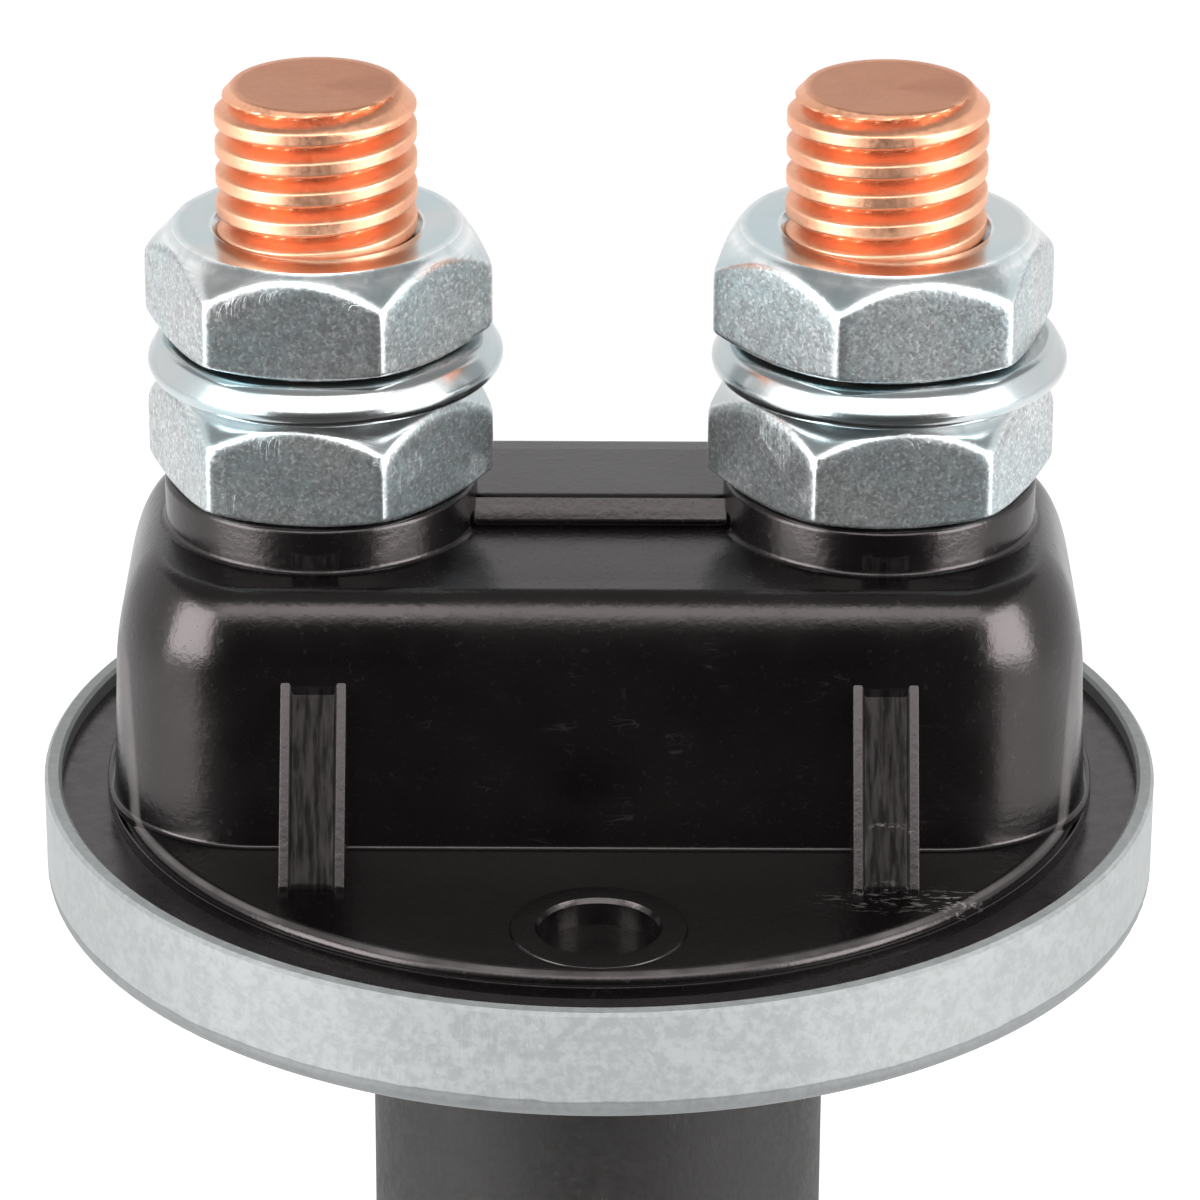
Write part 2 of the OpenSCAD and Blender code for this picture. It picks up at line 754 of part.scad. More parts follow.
// The clip that holds the cam on the shaft
module shaft_clip() {
    color("dimgray")
        translate([0, 0, cam_top])
            difference() {
                ring(shaft_clip_r, square_w / 2 - shaft_clip_neck + seat_gap, shaft_clip_t);
                translate([0, 0, 0 - cut])
                    linear_extrude(shaft_clip_t + 2 * cut)
                        translate([0, 0 - square_w / 2 + shaft_clip_neck])
                            square([shaft_d, square_w - 2 * shaft_clip_neck]);
            }
}

// Both detent balls
module detent_balls() {
    color("silver")
        for (angle = ball_angles)
            rotate(angle) translate([ball_pitch_r, 0, ball_z]) sphere(r = ball_r, $fn = 48);
}

// Both detent springs, lying in the cam behind the balls
module detent_springs() {
    color("gray")
        for (angle = ball_angles)
            rotate(angle)
                translate([0, 0, ball_z])
                    rotate([0, 90, 0])
                        coil_spring(ball_spring_r, ball_wire_r, ball_spring_start, ball_spring_end,
                            ball_spring_turns, ball_spring_steps, ball_wire_sides);
}

// The moulded carrier: a plate with two lugs that ride on the ramps, and a hollow square post for the bridge
module contact_carrier() {
    half_d = cavity_half_d - pass_gap;
    lug_top = carrier_z + edge_break;
    color("wheat")
        difference() {
            union() {
                translate([0, 0, carrier_z]) round_slab(carrier_half_w, half_d, carrier_corner_r, carrier_t);
                for (side = [-1, 1])
                    translate([side * (cam_inner_r + cam_outer_r) / 2, 0, (lug_z + lug_top) / 2])
                        cube([cam_outer_r - cam_inner_r - edge_break, lug_w, lug_top - lug_z], center = true);
                translate([0 - post_w / 2, 0 - post_w / 2, carrier_z])
                    cube([post_w, post_w, post_top - carrier_z]);
            }
            translate([0, 0, bridge_top]) ring(post_w, post_w / 2 - clip_neck, clip_t + seat_gap);
            translate([0, 0, post_bore_z])
                cylinder(r = post_bore_r, h = post_top - post_bore_z + cut, $fn = 64);
        }
}

// The copper bridge that joins the two stud heads at ON
module contact_bridge() {
    hole = post_w + 4 * run_gap;
    pad_r = bridge_w / 2;
    color("peru")
        translate([0, 0, bridge_z])
            difference() {
                union() {
                    translate([0 - bridge_half_l + pad_r, 0 - pad_r, 0])
                        cube([2 * (bridge_half_l - pad_r), bridge_w, bridge_t]);
                    for (side = [-1, 1])
                        translate([side * (bridge_half_l - pad_r), 0, 0])
                            cylinder(r = pad_r, h = bridge_t, $fn = 64);
                }
                translate([0 - hole / 2, 0 - hole / 2, 0 - cut]) cube([hole, hole, bridge_t + 2 * cut]);
            }
}

// The spring that presses the bridge against the stud heads
module contact_spring() {
    color("silver")
        coil_spring(contact_spring_r, contact_wire_r, carrier_top + seat_gap, bridge_z - seat_gap,
            contact_turns, spring_steps, wire_sides);
}

// The clip that keeps the bridge on the carrier's post
module bridge_clip() {
    neck = post_w / 2 - clip_neck + seat_gap;
    color("dimgray")
        translate([0, 0, bridge_top + seat_gap / 2])
            difference() {
                cylinder(r = clip_r, h = clip_t, $fn = 64);
                translate([0, 0, 0 - cut]) cylinder(r = neck, h = clip_t + 2 * cut, $fn = 64);
                translate([0, 0 - neck, 0 - cut]) cube([clip_r + cut, 2 * neck, clip_t + 2 * cut]);
            }
}

// The spring that pushes the carrier back down on the cam
module return_spring() {
    color("silver")
        coil_spring(return_spring_r, return_wire_r, post_bore_z + seat_gap, spring_pocket_z - seat_gap,
            return_turns, spring_steps, wire_sides);
}

// The lever: a tall round hub with an arm at its outer end
module lever_handle() {
    color([0.16, 0.15, 0.15])
        difference() {
            union() {
                translate([0, 0, hub_z])
                    rotate_extrude($fn = 128)
                        polygon([[0, 0], [hub_d / 2 - hub_edge, 0], [hub_d / 2, hub_edge],
                            [hub_d / 2, hub_h - hub_edge / 2], [hub_d / 2 - hub_edge / 2, hub_h],
                            [0, hub_h]]);
                hull() {
                    arm_end(0, arm_root_w);
                    arm_end(lever_l - arm_tip_w / 2, arm_tip_w);
                }
            }
            translate([0 - square_w / 2 - seat_gap, 0 - square_w / 2 - seat_gap, shaft_low - edge_break])
                cube([square_w + 2 * seat_gap, square_w + 2 * seat_gap,
                    hub_top - shaft_low + edge_break + cut]);
            translate([0, 0, hub_top - edge_break])
                cylinder(r = shaft_r + seat_gap, h = edge_break + cut, $fn = 64);
            translate([0, 0, hub_z - cut]) cylinder(r = screw_well_r, h = screw_well_h + cut, $fn = 64);
            translate([0, 0, hub_z]) cylinder(r = screw_r + 2 * run_gap, h = shaft_low - hub_z, $fn = 48);
        }
}

// One round end of the lever's arm, with a rounded top and bottom edge
module arm_end(at, width) {
    translate([0, at, hub_z])
        rotate_extrude($fn = 40)
            union() {
                translate([0, arm_round]) square([width / 2, arm_t - 2 * arm_round]);
                square([width / 2 - arm_round, arm_t]);
                for (z = [arm_round, arm_t - arm_round])
                    intersection() {
                        translate([width / 2 - arm_round, z]) circle(r = arm_round, $fn = 24);
                        square([width, arm_t]);
                    }
            }
}

// The screw that holds the lever on the shaft
module handle_screw() {
    head_top = hub_z + screw_well_h - spring_washer_t;
    color("silver")
        difference() {
            union() {
                translate([0, 0, head_top - screw_head_h])
                    rotate_extrude($fn = 64)
                        polygon([[0, 0], [screw_head_r - screw_slot_h, 0], [screw_head_r, screw_slot_h],
                            [screw_head_r, screw_head_h], [0, screw_head_h]]);
                translate([0, 0, head_top]) cylinder(r = screw_r, h = screw_l, $fn = 48);
            }
            translate([0 - screw_head_r, 0 - screw_slot_w / 2, head_top - screw_head_h - cut])
                cube([2 * screw_head_r, screw_slot_w, screw_slot_h + cut]);
        }
}

// The spring washer under the screw's head
module handle_spring_washer() {
    color("silver")
        translate([0, 0, hub_z + screw_well_h - spring_washer_t])
            difference() {
                ring(screw_head_r - edge_break, screw_r + run_gap, spring_washer_t);
                translate([0, 0 - screw_slot_w / 2, 0 - cut])
                    cube([screw_head_r, screw_slot_w, spring_washer_t + 2 * cut]);
            }
}

housing();
base_moulding();
base_gasket();
retaining_ring();
translate([0 - stud_spacing / 2, 0, 0]) terminal_stud();  // stud_left
translate([stud_spacing / 2, 0, 0]) terminal_stud();  // stud_right
translate([0 - stud_spacing / 2, 0, 0]) terminal_nut(lower_nut_z, nuts_left_turn);  // lower_nut_left
translate([stud_spacing / 2, 0, 0]) terminal_nut(lower_nut_z, lower_nut_right_turn);  // lower_nut_right
translate([0 - stud_spacing / 2, 0, 0]) lock_washer();  // lock_washer_left
translate([stud_spacing / 2, 0, 0]) lock_washer();  // lock_washer_right
translate([0 - stud_spacing / 2, 0, 0]) terminal_nut(upper_nut_z, nuts_left_turn);  // upper_nut_left
translate([stud_spacing / 2, 0, 0]) terminal_nut(upper_nut_z, upper_nut_right_turn);  // upper_nut_right
index_plate();
tooth_washer();
stem_nut();
shaft();
shaft_seal();
thrust_washer();
cam_rotor();
shaft_clip();
detent_balls();
detent_springs();
contact_carrier();
contact_bridge();
contact_spring();
bridge_clip();
return_spring();
lever_handle();
handle_screw();
handle_spring_washer();
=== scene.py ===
"""Dresses the battery disconnect switch: its finer shapes, its finishes and a plain studio."""

import math

import bmesh
import bpy
import numpy as np
from bpy.props import FloatProperty, FloatVectorProperty, PointerProperty
from mathutils import Matrix, Vector


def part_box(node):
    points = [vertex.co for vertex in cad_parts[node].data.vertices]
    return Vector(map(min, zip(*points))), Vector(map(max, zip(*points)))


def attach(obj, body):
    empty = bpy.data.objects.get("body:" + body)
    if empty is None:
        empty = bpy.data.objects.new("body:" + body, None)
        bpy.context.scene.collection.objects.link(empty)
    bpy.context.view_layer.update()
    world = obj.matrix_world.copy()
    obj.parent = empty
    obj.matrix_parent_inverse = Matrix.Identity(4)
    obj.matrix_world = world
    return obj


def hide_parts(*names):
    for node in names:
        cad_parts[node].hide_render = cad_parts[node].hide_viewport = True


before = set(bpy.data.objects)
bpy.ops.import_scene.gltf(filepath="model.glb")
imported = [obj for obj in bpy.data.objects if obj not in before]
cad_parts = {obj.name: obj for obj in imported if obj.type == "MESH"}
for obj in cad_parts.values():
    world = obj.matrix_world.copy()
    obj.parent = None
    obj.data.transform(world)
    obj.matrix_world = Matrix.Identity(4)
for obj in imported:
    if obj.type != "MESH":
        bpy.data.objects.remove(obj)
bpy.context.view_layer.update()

bl_info = {
    "name": "Battery disconnect switch",
    "version": (1, 0, 0),
    "blender": (4, 5, 0),
    "location": "3D View > Sidebar > Switch",
    "description": "Builds and dresses a panel-mounted battery disconnect switch",
    "category": "Object",
}

MM = 0.001
BODY = "switch_body"
LEVER_BODY = "rotor"
SIDES = ((-1, "left"), (1, "right"))


def levels(node):
    """The lowest and the highest level of a frame node, in millimetres."""
    low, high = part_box(node)
    return low[2] * 1000, high[2] * 1000


MOULD_FOOT = levels("base_moulding")[0]
STUD_FOOT, STUD_TOP = levels("stud_right")
UPPER_FOOT, UPPER_TOP = levels("upper_nut_right")
LOWER_FOOT, LOWER_TOP = levels("lower_nut_right")
WASHER_FOOT, WASHER_TOP = levels("lock_washer_right")
LEVER_FOOT, LEVER_TOP = levels("lever_handle")
PLATE_FOOT = levels("index_plate")[0]
STUD_X = sum(corner[0] * 1000 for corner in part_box("stud_right")) / 2
CAVITY_TOP = STUD_FOOT + 2.5  # the stud heads bear on it
RIM_FOOT = 0.0  # where the housing's visible rim begins


def length(name, words, value):
    """A length in millimetres that a user may change."""
    return FloatProperty(name=name, description=words, default=value, min=0.0, precision=3)


def colour(name, words, value):
    """A colour that a user may change."""
    return FloatVectorProperty(
        name=name, description=words, default=value, size=3, min=0.0, max=1.0, subtype="COLOR"
    )


def angle(name, words, degrees):
    """An angle that a user may change."""
    return FloatProperty(name=name, description=words, default=math.radians(degrees), subtype="ANGLE")


class SwitchMouldingSizes(bpy.types.PropertyGroup):
    """Sizes of the black moulding, in millimetres."""

    block_length: length("Block length", "Length of the terminal block at its foot", 62.2)
    block_depth: length("Block depth", "Depth of the terminal block at its foot", 29.4)
    block_corner: length("Block corner", "Corner radius of the block, seen from above", 9.5)
    front_round: length("Front round", "How far the top edge's rounding reaches in, front and back", 2.4)
    front_drop: length("Front drop", "How far the top edge's rounding reaches down, front and back", 5.0)
    end_round: length("End round", "How far the top edge's rounding reaches in at the ends", 3.2)
    end_drop: length("End drop", "How far the top edge's rounding reaches down at the ends", 9.0)
    block_draft: length("Block draft", "Lean of the block's sides from foot to top", 0.7)
    block_top: length("Block top", "Height of the block's top", 24.4)
    foot_fillet: length("Foot fillet", "Fillet between the block and the platform", 0.3)
    platform_top: length("Platform top", "Height of the platform", 7.7)
    platform_radius: length("Platform radius", "Radius of the platform's foot", 31.9)
    platform_step: length("Platform step", "Step between the platform's foot and its upper part", 0.3)
    platform_round: length("Platform round", "Rounding of the platform's edge", 0.75)
    flange_radius: length("Flange radius", "Radius of the clamped flange", 34.6)
    flange_top: length("Flange top", "Height of the flange's upper face", 4.8)
    collar_radius: length("Collar radius", "Radius of the collars under the nuts", 9.95)
    pad_top: length("Pad top", "Height of the pad between the collars", 26.05)
    rib_width: length("Rib width", "Width of a gusset rib", 4.1)
    rib_height: length("Rib height", "Height of a gusset rib above the platform", 11.6)
    rib_reach: length("Rib reach", "Reach of a gusset rib along the platform", 6.2)
    # The band of painted shade along the housing's lower edge.
    rim_shade_band: length("Rim band", "Height of the duller band along the housing's lower edge", 1.3)
    rib_strip: length("Rib strip", "Width of the raised strip along each edge of a rib", 0.6)
    rib_web: length("Rib web", "How far the web between those strips is sunk", 0.45)
    dimple_radius: length("Dimple radius", "Radius of the dimple's mouth", 3.8)
    dimple_ring: length("Dimple ring", "Radius of the low ring round the dimple", 5.45)


class SwitchTerminalSizes(bpy.types.PropertyGroup):
    """Sizes of the studs, nuts and lock washers, in millimetres."""

    thread_radius: length("Thread radius", "Radius over the stud's thread", 6.3)
    thread_pitch: length("Thread pitch", "Pitch of the stud's thread", 1.954)
    thread_depth: length("Thread depth", "Depth of the stud's thread", 1.22)
    core_radius: length("Core radius", "Radius of the stud under the nuts", 5.665)
    tip_chamfer: length("Tip chamfer", "Chamfer at the stud's tip", 1.05)
    tip_rise: length("Tip rise", "How far the tip stands above the CAD stud", 0.4)
    nut_flats: length("Nut width", "Width across the flats of a terminal nut", 19.4)
    nut_inset: length("Nut chamfer", "Set-back of the nut's round face from its flats", 0.5)
    nut_foot: length("Nut foot", "Set-back of the nut's lower face from its flats", 0.25)
    nut_mouth: length("Nut mouth", "Radius of the countersink of a nut", 6.62)
    washer_radius: length("Washer radius", "Outside radius of a lock washer before rounding", 11.85)
    washer_bore: length("Washer bore", "Bore radius of a lock washer", 6.75)
    washer_section: length("Washer section", "Thickness of a lock washer's wire", 2.42)
    washer_lean: length("Washer lean", "How far the top of a lock washer's outer face leans in", 1.4)
    washer_round: length("Washer round", "Rounding of a lock washer's edges", 0.85)
    washer_shift: length("Washer shift", "How far a lock washer sits off the stud's axis", 0.4)
    washer_tilt: angle("Washer tilt", "Tilt of a lock washer between the nuts", 0.8)


class SwitchLeverSizes(bpy.types.PropertyGroup):
    """Sizes of the lever, in millimetres."""

    hub_radius: length("Hub radius", "Radius of the lever's hub", 14.9)
    arm_length: length("Arm length", "Length of the arm from the lever's axis", 58.0)
    arm_root: length("Arm root width", "Width of the arm at the hub", 19.0)
    arm_tip: length("Arm tip width", "Width of the arm at its end", 14.0)
    arm_height: length("Arm height", "Thickness of the arm", 10.5)
    voxel: length("Voxel", "Size of the cells that blend hub and arm", 0.5)


class SwitchColours(bpy.types.PropertyGroup):
    """Colours of the finishes."""

    copper: colour("Copper", "Colour of the copper", (0.84, 0.43, 0.265))
    plating: colour("Plating", "Colour of the bright zinc plating", (0.56, 0.58, 0.585))
    plating_shade: colour("Plating shade", "Colour in the plating's dull speckles", (0.34, 0.35, 0.355))
    casting: colour("Casting", "Colour of the die-cast zinc", (0.42, 0.44, 0.44))
    moulding: colour("Moulding", "Colour of the black moulding", (0.0015, 0.0012, 0.0011))
    lever: colour("Lever", "Colour of the lever's nylon", (0.013, 0.0115, 0.011))
    rubber: colour("Rubber", "Colour of the seals", (0.018, 0.018, 0.018))
    plate: colour("Plate", "Colour of the index plate", (0.72, 0.72, 0.71))
    acetal: colour("Acetal", "Colour of the acetal pieces", (0.80, 0.78, 0.70))
    nylon: colour("Nylon", "Colour of the carrier's nylon", (0.58, 0.50, 0.36))


class SwitchStudio(bpy.types.PropertyGroup):
    """The camera and the lamps."""

    camera_lens: FloatProperty(name="Lens", description="Focal length", default=179.99, min=1.0)
    camera_place: FloatVectorProperty(
        name="Camera place", description="Where the camera stands", size=3,
        default=(0.0, -0.35267, 0.17563), subtype="TRANSLATION",
    )
    camera_pitch: angle("Camera pitch", "How far the camera looks down", 24.04)
    camera_roll: angle("Camera roll", "Turn of the camera about its axis", 0.233)
    side_power: FloatProperty(
        name="Side power", description="Power of each side lamp in watts", default=4.0, min=0
    )
    front_power: FloatProperty(
        name="Front power", description="Power of the lamp in front in watts", default=4.4, min=0
    )
    floor_height: FloatProperty(
        name="Floor height", description="Height of the floor", default=-0.25, subtype="DISTANCE"
    )


def moulding_sizes():
    return bpy.context.scene.switch_moulding


def terminal_sizes():
    return bpy.context.scene.switch_terminals


def finish_colours():
    return bpy.context.scene.switch_colours


# Meshes


def linked(name, data):
    """A new object of the scene."""
    thing = bpy.data.objects.new(name, data)
    bpy.context.scene.collection.objects.link(thing)
    return thing


def new_piece(name, points, faces):
    """A smooth mesh object at the origin, from points in millimetres."""
    mesh = bpy.data.meshes.new(name)
    mesh.from_pydata([tuple(c * MM for c in p) for p in points], [], [tuple(f) for f in faces])
    mesh.validate()
    mesh.shade_smooth()
    return linked(name, mesh)


def wrapped_faces(rows, columns, closed_rows=False):
    """Quads of a grid whose columns close on themselves, and its rows too if asked."""
    faces = []
    for i in range(rows if closed_rows else rows - 1):
        low, high = i * columns, (i + 1) % rows * columns
        for j in range(columns):
            k = (j + 1) % columns
            faces.append((low + j, low + k, high + k, high + j))
    return faces


def arc(cx, cy, radius, start, stop, steps):
    """Points of an arc, angles in degrees."""
    return [
        (cx + radius * math.cos(math.radians(a)), cy + radius * math.sin(math.radians(a)))
        for a in np.linspace(start, stop, steps + 1)
    ]


def lathe(name, profile, sides=128, centre=(0.0, 0.0)):
    """A closed solid turned from a profile of (radius, height), first and last points on the axis."""
    rows = profile[1:-1]
    points = []
    for r, z in rows:
        points += [(x, y, z) for x, y in arc(*centre, r, 0, 360, sides)[:-1]]
    faces = wrapped_faces(len(rows), sides)
    first, last, end = len(points), len(points) + 1, (len(rows) - 1) * sides
    points += [(*centre, profile[0][1]), (*centre, profile[-1][1])]
    for j in range(sides):
        k = (j + 1) % sides
        faces += [(first, k, j), (last, end + j, end + k)]
    return new_piece(name, points, faces)


def rod(name, radius, low, high, sides):
    """A plain cylinder round the axis."""
    return lathe(name, [(0, low), (radius, low), (radius, high), (0, high)], sides)


def skinned(name, rings):
    """A closed solid through rings of as many points each, capped at both ends."""
    count = len(rings[0])
    faces = wrapped_faces(len(rings), count)
    faces += [reversed(range(count)), range((len(rings) - 1) * count, len(rings) * count)]
    return new_piece(name, [point for ring in rings for point in ring], faces)


def boxed(name, low, high):
    """A box from corner to corner."""
    (x0, y0, z0), (x1, y1, z1) = low, high
    return skinned(name, [[(x0, y0, z), (x1, y0, z), (x1, y1, z), (x0, y1, z)] for z in (z0, z1)])


def rounded_outline(half_x, half_y, corner, steps=20, straight=6):
    """Points of a rectangle with round corners, anticlockwise, always the same number."""
    in_x, in_y = half_x - corner, half_y - corner
    middles = ((in_x, in_y), (-in_x, in_y), (-in_x, -in_y), (in_x, -in_y))
    corners = [arc(*middle, corner, 90 * k, 90 * k + 90, steps) for k, middle in enumerate(middles)]
    points = []
    for this, following in zip(corners, corners[1:] + corners[:1]):
        here, there = np.array(this[-1]), np.array(following[0])
        points += this + [tuple(here + (there - here) * (k / straight)) for k in range(1, straight)]
    return points


def settle(piece):
    """Turns a piece with its modifiers into a plain mesh."""
    graph = bpy.context.evaluated_depsgraph_get()
    graph.update()
    mesh = bpy.data.meshes.new_from_object(
        piece.evaluated_get(graph), preserve_all_data_layers=True, depsgraph=graph
    )
    old = piece.data
    piece.modifiers.clear()
    piece.data = mesh
    mesh.name = piece.name
    bpy.data.meshes.remove(old)


def round_edges(piece, width, segments):
    """Rounds a piece's sharp edges for good."""
    modifier = piece.modifiers.new("Rounded edges", "BEVEL")
    modifier.width = width * MM
    modifier.segments = segments
    modifier.limit_method = "ANGLE"
    modifier.angle_limit = math.radians(30)
    settle(piece)


def combine(base, others, operation):
    """Joins other solids to a base, or cuts them from it, and removes them."""
    group = bpy.data.collections.new("combining")
    for other in others:
        group.objects.link(other)
        bpy.context.scene.collection.objects.unlink(other)
    bpy.context.scene.collection.children.link(group)
    modifier = base.modifiers.new("Combine", "BOOLEAN")
    modifier.operation = operation
    modifier.solver = "EXACT"
    modifier.operand_type = "COLLECTION"
    modifier.collection = group
    settle(base)
    for mesh in [other.data for other in others]:
        bpy.data.meshes.remove(mesh)  # takes its object with it
    bpy.data.collections.remove(group)


def crisp(piece, degrees=32.0):
    """Smooth shading that keeps edges sharper than an angle."""
    piece.data.shade_smooth()
    piece.data.set_sharp_from_angle(angle=math.radians(degrees))


def outward(piece):
    """Turns every face of a closed piece outwards."""
    work = bmesh.new()
    work.from_mesh(piece.data)
    bmesh.ops.remove_doubles(work, verts=work.verts, dist=1e-7)
    bmesh.ops.recalc_face_normals(work, faces=work.faces)
    work.to_mesh(piece.data)
    work.free()


def set_attribute(piece, name, values):
    """Stores one value, or one for each point of a piece, for its finish to read."""
    layer = piece.data.attributes.new(name, "FLOAT", "POINT")
    layer.data.foreach_set("value", np.full(len(piece.data.vertices), values, np.float32))


def dress(mesh, material):
    """Gives a mesh its finish."""
    mesh.materials.clear()
    mesh.materials.append(material)


def place(piece, body, material, slot, *nodes):
    """Gives a finished piece its finish and its body, and hides the frame nodes that it stands for."""
    dress(piece.data, material)
    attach(piece, body)
    if nodes:
        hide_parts(*nodes)


# Node trees


class Nodes:
    """Short calls for building a node tree. Any input may be a value or another node's socket."""

    def __init__(self, tree):
        self.tree = tree

    def add(self, kind, inputs=None, **settings):
        node = self.tree.nodes.new(kind)
        for key, value in settings.items():
            setattr(node, key, value)
        self.fill(node, inputs or {})
        return node

    def fill(self, node, inputs):
        for key, value in inputs.items():
            self.set(node.inputs[key], value)

    def set(self, socket, value):
        if isinstance(value, bpy.types.NodeSocket):
            self.tree.links.new(value, socket)
        else:
            socket.default_value = value

    def math(self, operation, a, b=0.0, clamp=False):
        return self.add("ShaderNodeMath", {0: a, 1: b}, operation=operation, use_clamp=clamp).outputs[0]

    def times(self, a, b):
        return self.math("MULTIPLY", a, b)

    def plus(self, a, b, share=None, clamp=False):
        """The sum of one value and another, or a share of it."""
        return self.math("ADD", a, b if share is None else self.times(b, share), clamp)

    def minus(self, a, b):
        return self.math("SUBTRACT", a, b)

    def gap(self, a, b):
        """How far two values are apart."""
        return self.math("ABSOLUTE", self.minus(a, b))

    def steps(self, value, low, high, out_low=0.0, out_high=1.0, smooth=True):
        """Maps one range to another, with an S-shaped course unless it is told otherwise."""
        inputs = dict(zip(("Value", "From Min", "From Max"), (value, low, high)))
        inputs.update({"To Min": out_low, "To Max": out_high})
        kind = "SMOOTHSTEP" if smooth else "LINEAR"
        return self.add("ShaderNodeMapRange", inputs, interpolation_type=kind).outputs[0]

    def fade(self, value, low, high, smooth=True):
        """One below a range, nothing above it."""
        return self.steps(value, low, high, 1.0, 0.0, smooth)

    def mix(self, factor, a, b, share=None):
        """Goes from one colour to another by a factor, or a share of it."""
        factor = factor if share is None else self.times(factor, share)
        node = self.add("ShaderNodeMix", {0: factor}, data_type="RGBA")
        for socket, value in ((node.inputs[6], a), (node.inputs[7], b)):
            self.set(socket, value if isinstance(value, bpy.types.NodeSocket) else (*value, 1.0))
        return node.outputs[2]

    def noise(self, where, scale, detail=2.0, rough=0.5):
        inputs = {"Vector": where, "Scale": scale, "Detail": detail, "Roughness": rough}
        return self.add("ShaderNodeTexNoise", inputs).outputs["Fac"]

    def mapped(self, where, scale, turn=(0.0, 0.0, 0.0)):
        """Stretched and turned coordinates."""
        return self.add("ShaderNodeMapping", {"Vector": where, "Scale": scale, "Rotation": turn}).outputs[0]

    def vector(self, operation, a, b=(0.0, 0.0, 0.0)):
        node = self.add("ShaderNodeVectorMath", {0: a, 1: b}, operation=operation)
        return node.outputs["Value" if operation == "LENGTH" else "Vector"]

    def parts(self, vector):
        return self.add("ShaderNodeSeparateXYZ", {0: vector}).outputs

    def joined(self, *parts):
        return self.add("ShaderNodeCombineXYZ", dict(enumerate(parts))).outputs[0]

    def attribute(self, name):
        return self.add("ShaderNodeAttribute", attribute_name=name).outputs["Fac"]

    def bump(self, height, strength, distance=0.05 * MM):
        inputs = {"Strength": strength, "Distance": distance, "Height": height}
        return self.add("ShaderNodeBump", inputs).outputs["Normal"]

    def seen(self):
        """One for rays that the camera sees directly, in a reflection or through something."""
        path = self.add("ShaderNodeLightPath").outputs
        shown = self.math("MAXIMUM", path["Is Glossy Ray"], path["Is Transmission Ray"])
        return self.math("MAXIMUM", path["Is Camera Ray"], shown)


def node_group(name, kind, inputs, outputs):
    """A new node group with the given sockets; returns it with its builder and its two ends."""
    tree = bpy.data.node_groups.new(name, kind)
    for in_out, sockets in (("INPUT", inputs), ("OUTPUT", outputs)):
        for label, socket in sockets.items():
            tree.interface.new_socket(name=label, in_out=in_out, socket_type="NodeSocket" + socket)
    n = Nodes(tree)
    return tree, n, n.add("NodeGroupInput").outputs, n.add("NodeGroupOutput").inputs


def shader_group(name, numbers, results):
    """A node group for finishes, which makes numbers from coordinates and numbers."""
    inputs = {"Vector": "Vector", **dict.fromkeys(numbers, "Float")}
    return node_group(name, "ShaderNodeTree", inputs, dict.fromkeys(results, "Float"))


def grain_group():
    """Fine moulded or cast grain: a height, a speckle mask and slow cloudiness."""
    tree, n, given, out = shader_group(
        "Fine grain", ("Grain scale", "Cloud scale"), ("Height", "Speckle", "Cloud")
    )
    where = given["Vector"]
    fine = n.noise(where, given["Grain scale"], 3.0, 0.6)
    coarse = n.noise(where, n.times(given["Grain scale"], 0.35))
    n.set(out["Height"], n.plus(n.times(fine, 0.65), coarse, 0.35))
    n.set(out["Speckle"], n.steps(fine, 0.60, 0.72))
    n.set(out["Cloud"], n.steps(n.noise(where, given["Cloud scale"], 3.0, 0.55), 0.35, 0.65))
    return tree


def scratch_group():
    """Thin random scratches in three directions, as a mask."""
    tree, n, given, out = shader_group("Scratches", ("Scale", "Amount"), ("Mask",))
    where, total = given["Vector"], 0.0
    for turn, stretch in (((0.4, 0.9, 0.5), 70.0), ((1.3, 0.3, 2.1), 90.0), ((0.8, 2.2, 1.2), 80.0)):
        lines = n.noise(n.mapped(where, (1.0, stretch, 1.0), turn), given["Scale"], 1.0)
        line = n.fade(n.gap(lines, 0.5), 0.0, 0.006)
        part = n.steps(n.noise(where, n.times(given["Scale"], 1.6), 1.0), 0.60, 0.66)
        total = n.math("MAXIMUM", total, n.times(line, part))
    n.set(out["Mask"], n.times(total, given["Amount"]))
    return tree


def edge_highlight_group():
    """Painted highlights along a piece's edges: its own edge attribute broken up by noise, as a mask."""
    tree, n, given, out = shader_group("Painted edge highlights", ("Breakup",), ("Mask",))
    broken = n.steps(n.noise(given["Vector"], given["Breakup"]), 0.30, 0.55, 0.45, 1.0)
    n.set(out["Mask"], n.math("MULTIPLY", n.attribute("edge"), broken, clamp=True))
    return tree


SHARED = {}


def shared(name):
    """A node group or a finish that several pieces use, built once."""
    makers = {
        "grain": grain_group, "scratches": scratch_group, "edges": edge_highlight_group, "plating": plating_finish,
    }
    if name not in SHARED:
        SHARED[name] = makers[name]()
    return SHARED[name]


def use(n, name, where, **values):
    """Places a shared group in a material."""
    inputs = {key.replace("_", " ").capitalize(): value for key, value in values.items()}
    return n.add("ShaderNodeGroup", {"Vector": where, **inputs}, node_tree=shared(name)).outputs


def emptied(owner):
    """Clears the nodes of a material or a world and returns a builder for new ones."""
    owner.use_nodes = True
    owner.node_tree.nodes.clear()
    return Nodes(owner.node_tree)


def new_material(name):
    """A material with its Principled shader; returns it with its builder, shader and coordinates."""
    material = bpy.data.materials.new(name)
    n = emptied(material)
    shader = n.add("ShaderNodeBsdfPrincipled")
    n.add("ShaderNodeOutputMaterial", {0: shader.outputs[0]})
    return material, n, shader, n.add("ShaderNodeTexCoord").outputs["Object"]


# Finishes

RIB_ROOT = 1.6  # how deep a rib starts inside the block
RIB_HEAD = 0.7  # how deep its upper end lies in the block
RIB_TOE = 0.35  # the upright part of its lower end
SCUFFS = (
    ((19.5, -21.6, 7.7), (8.0, 2.3, 1.2), 0.35),
    ((23.0, -22.0, 7.7), (4.2, 1.9, 1.2), 0.45),
    ((18.2, -19.2, 11.2), (1.7, 4.0, 0.35), 0.6),
)


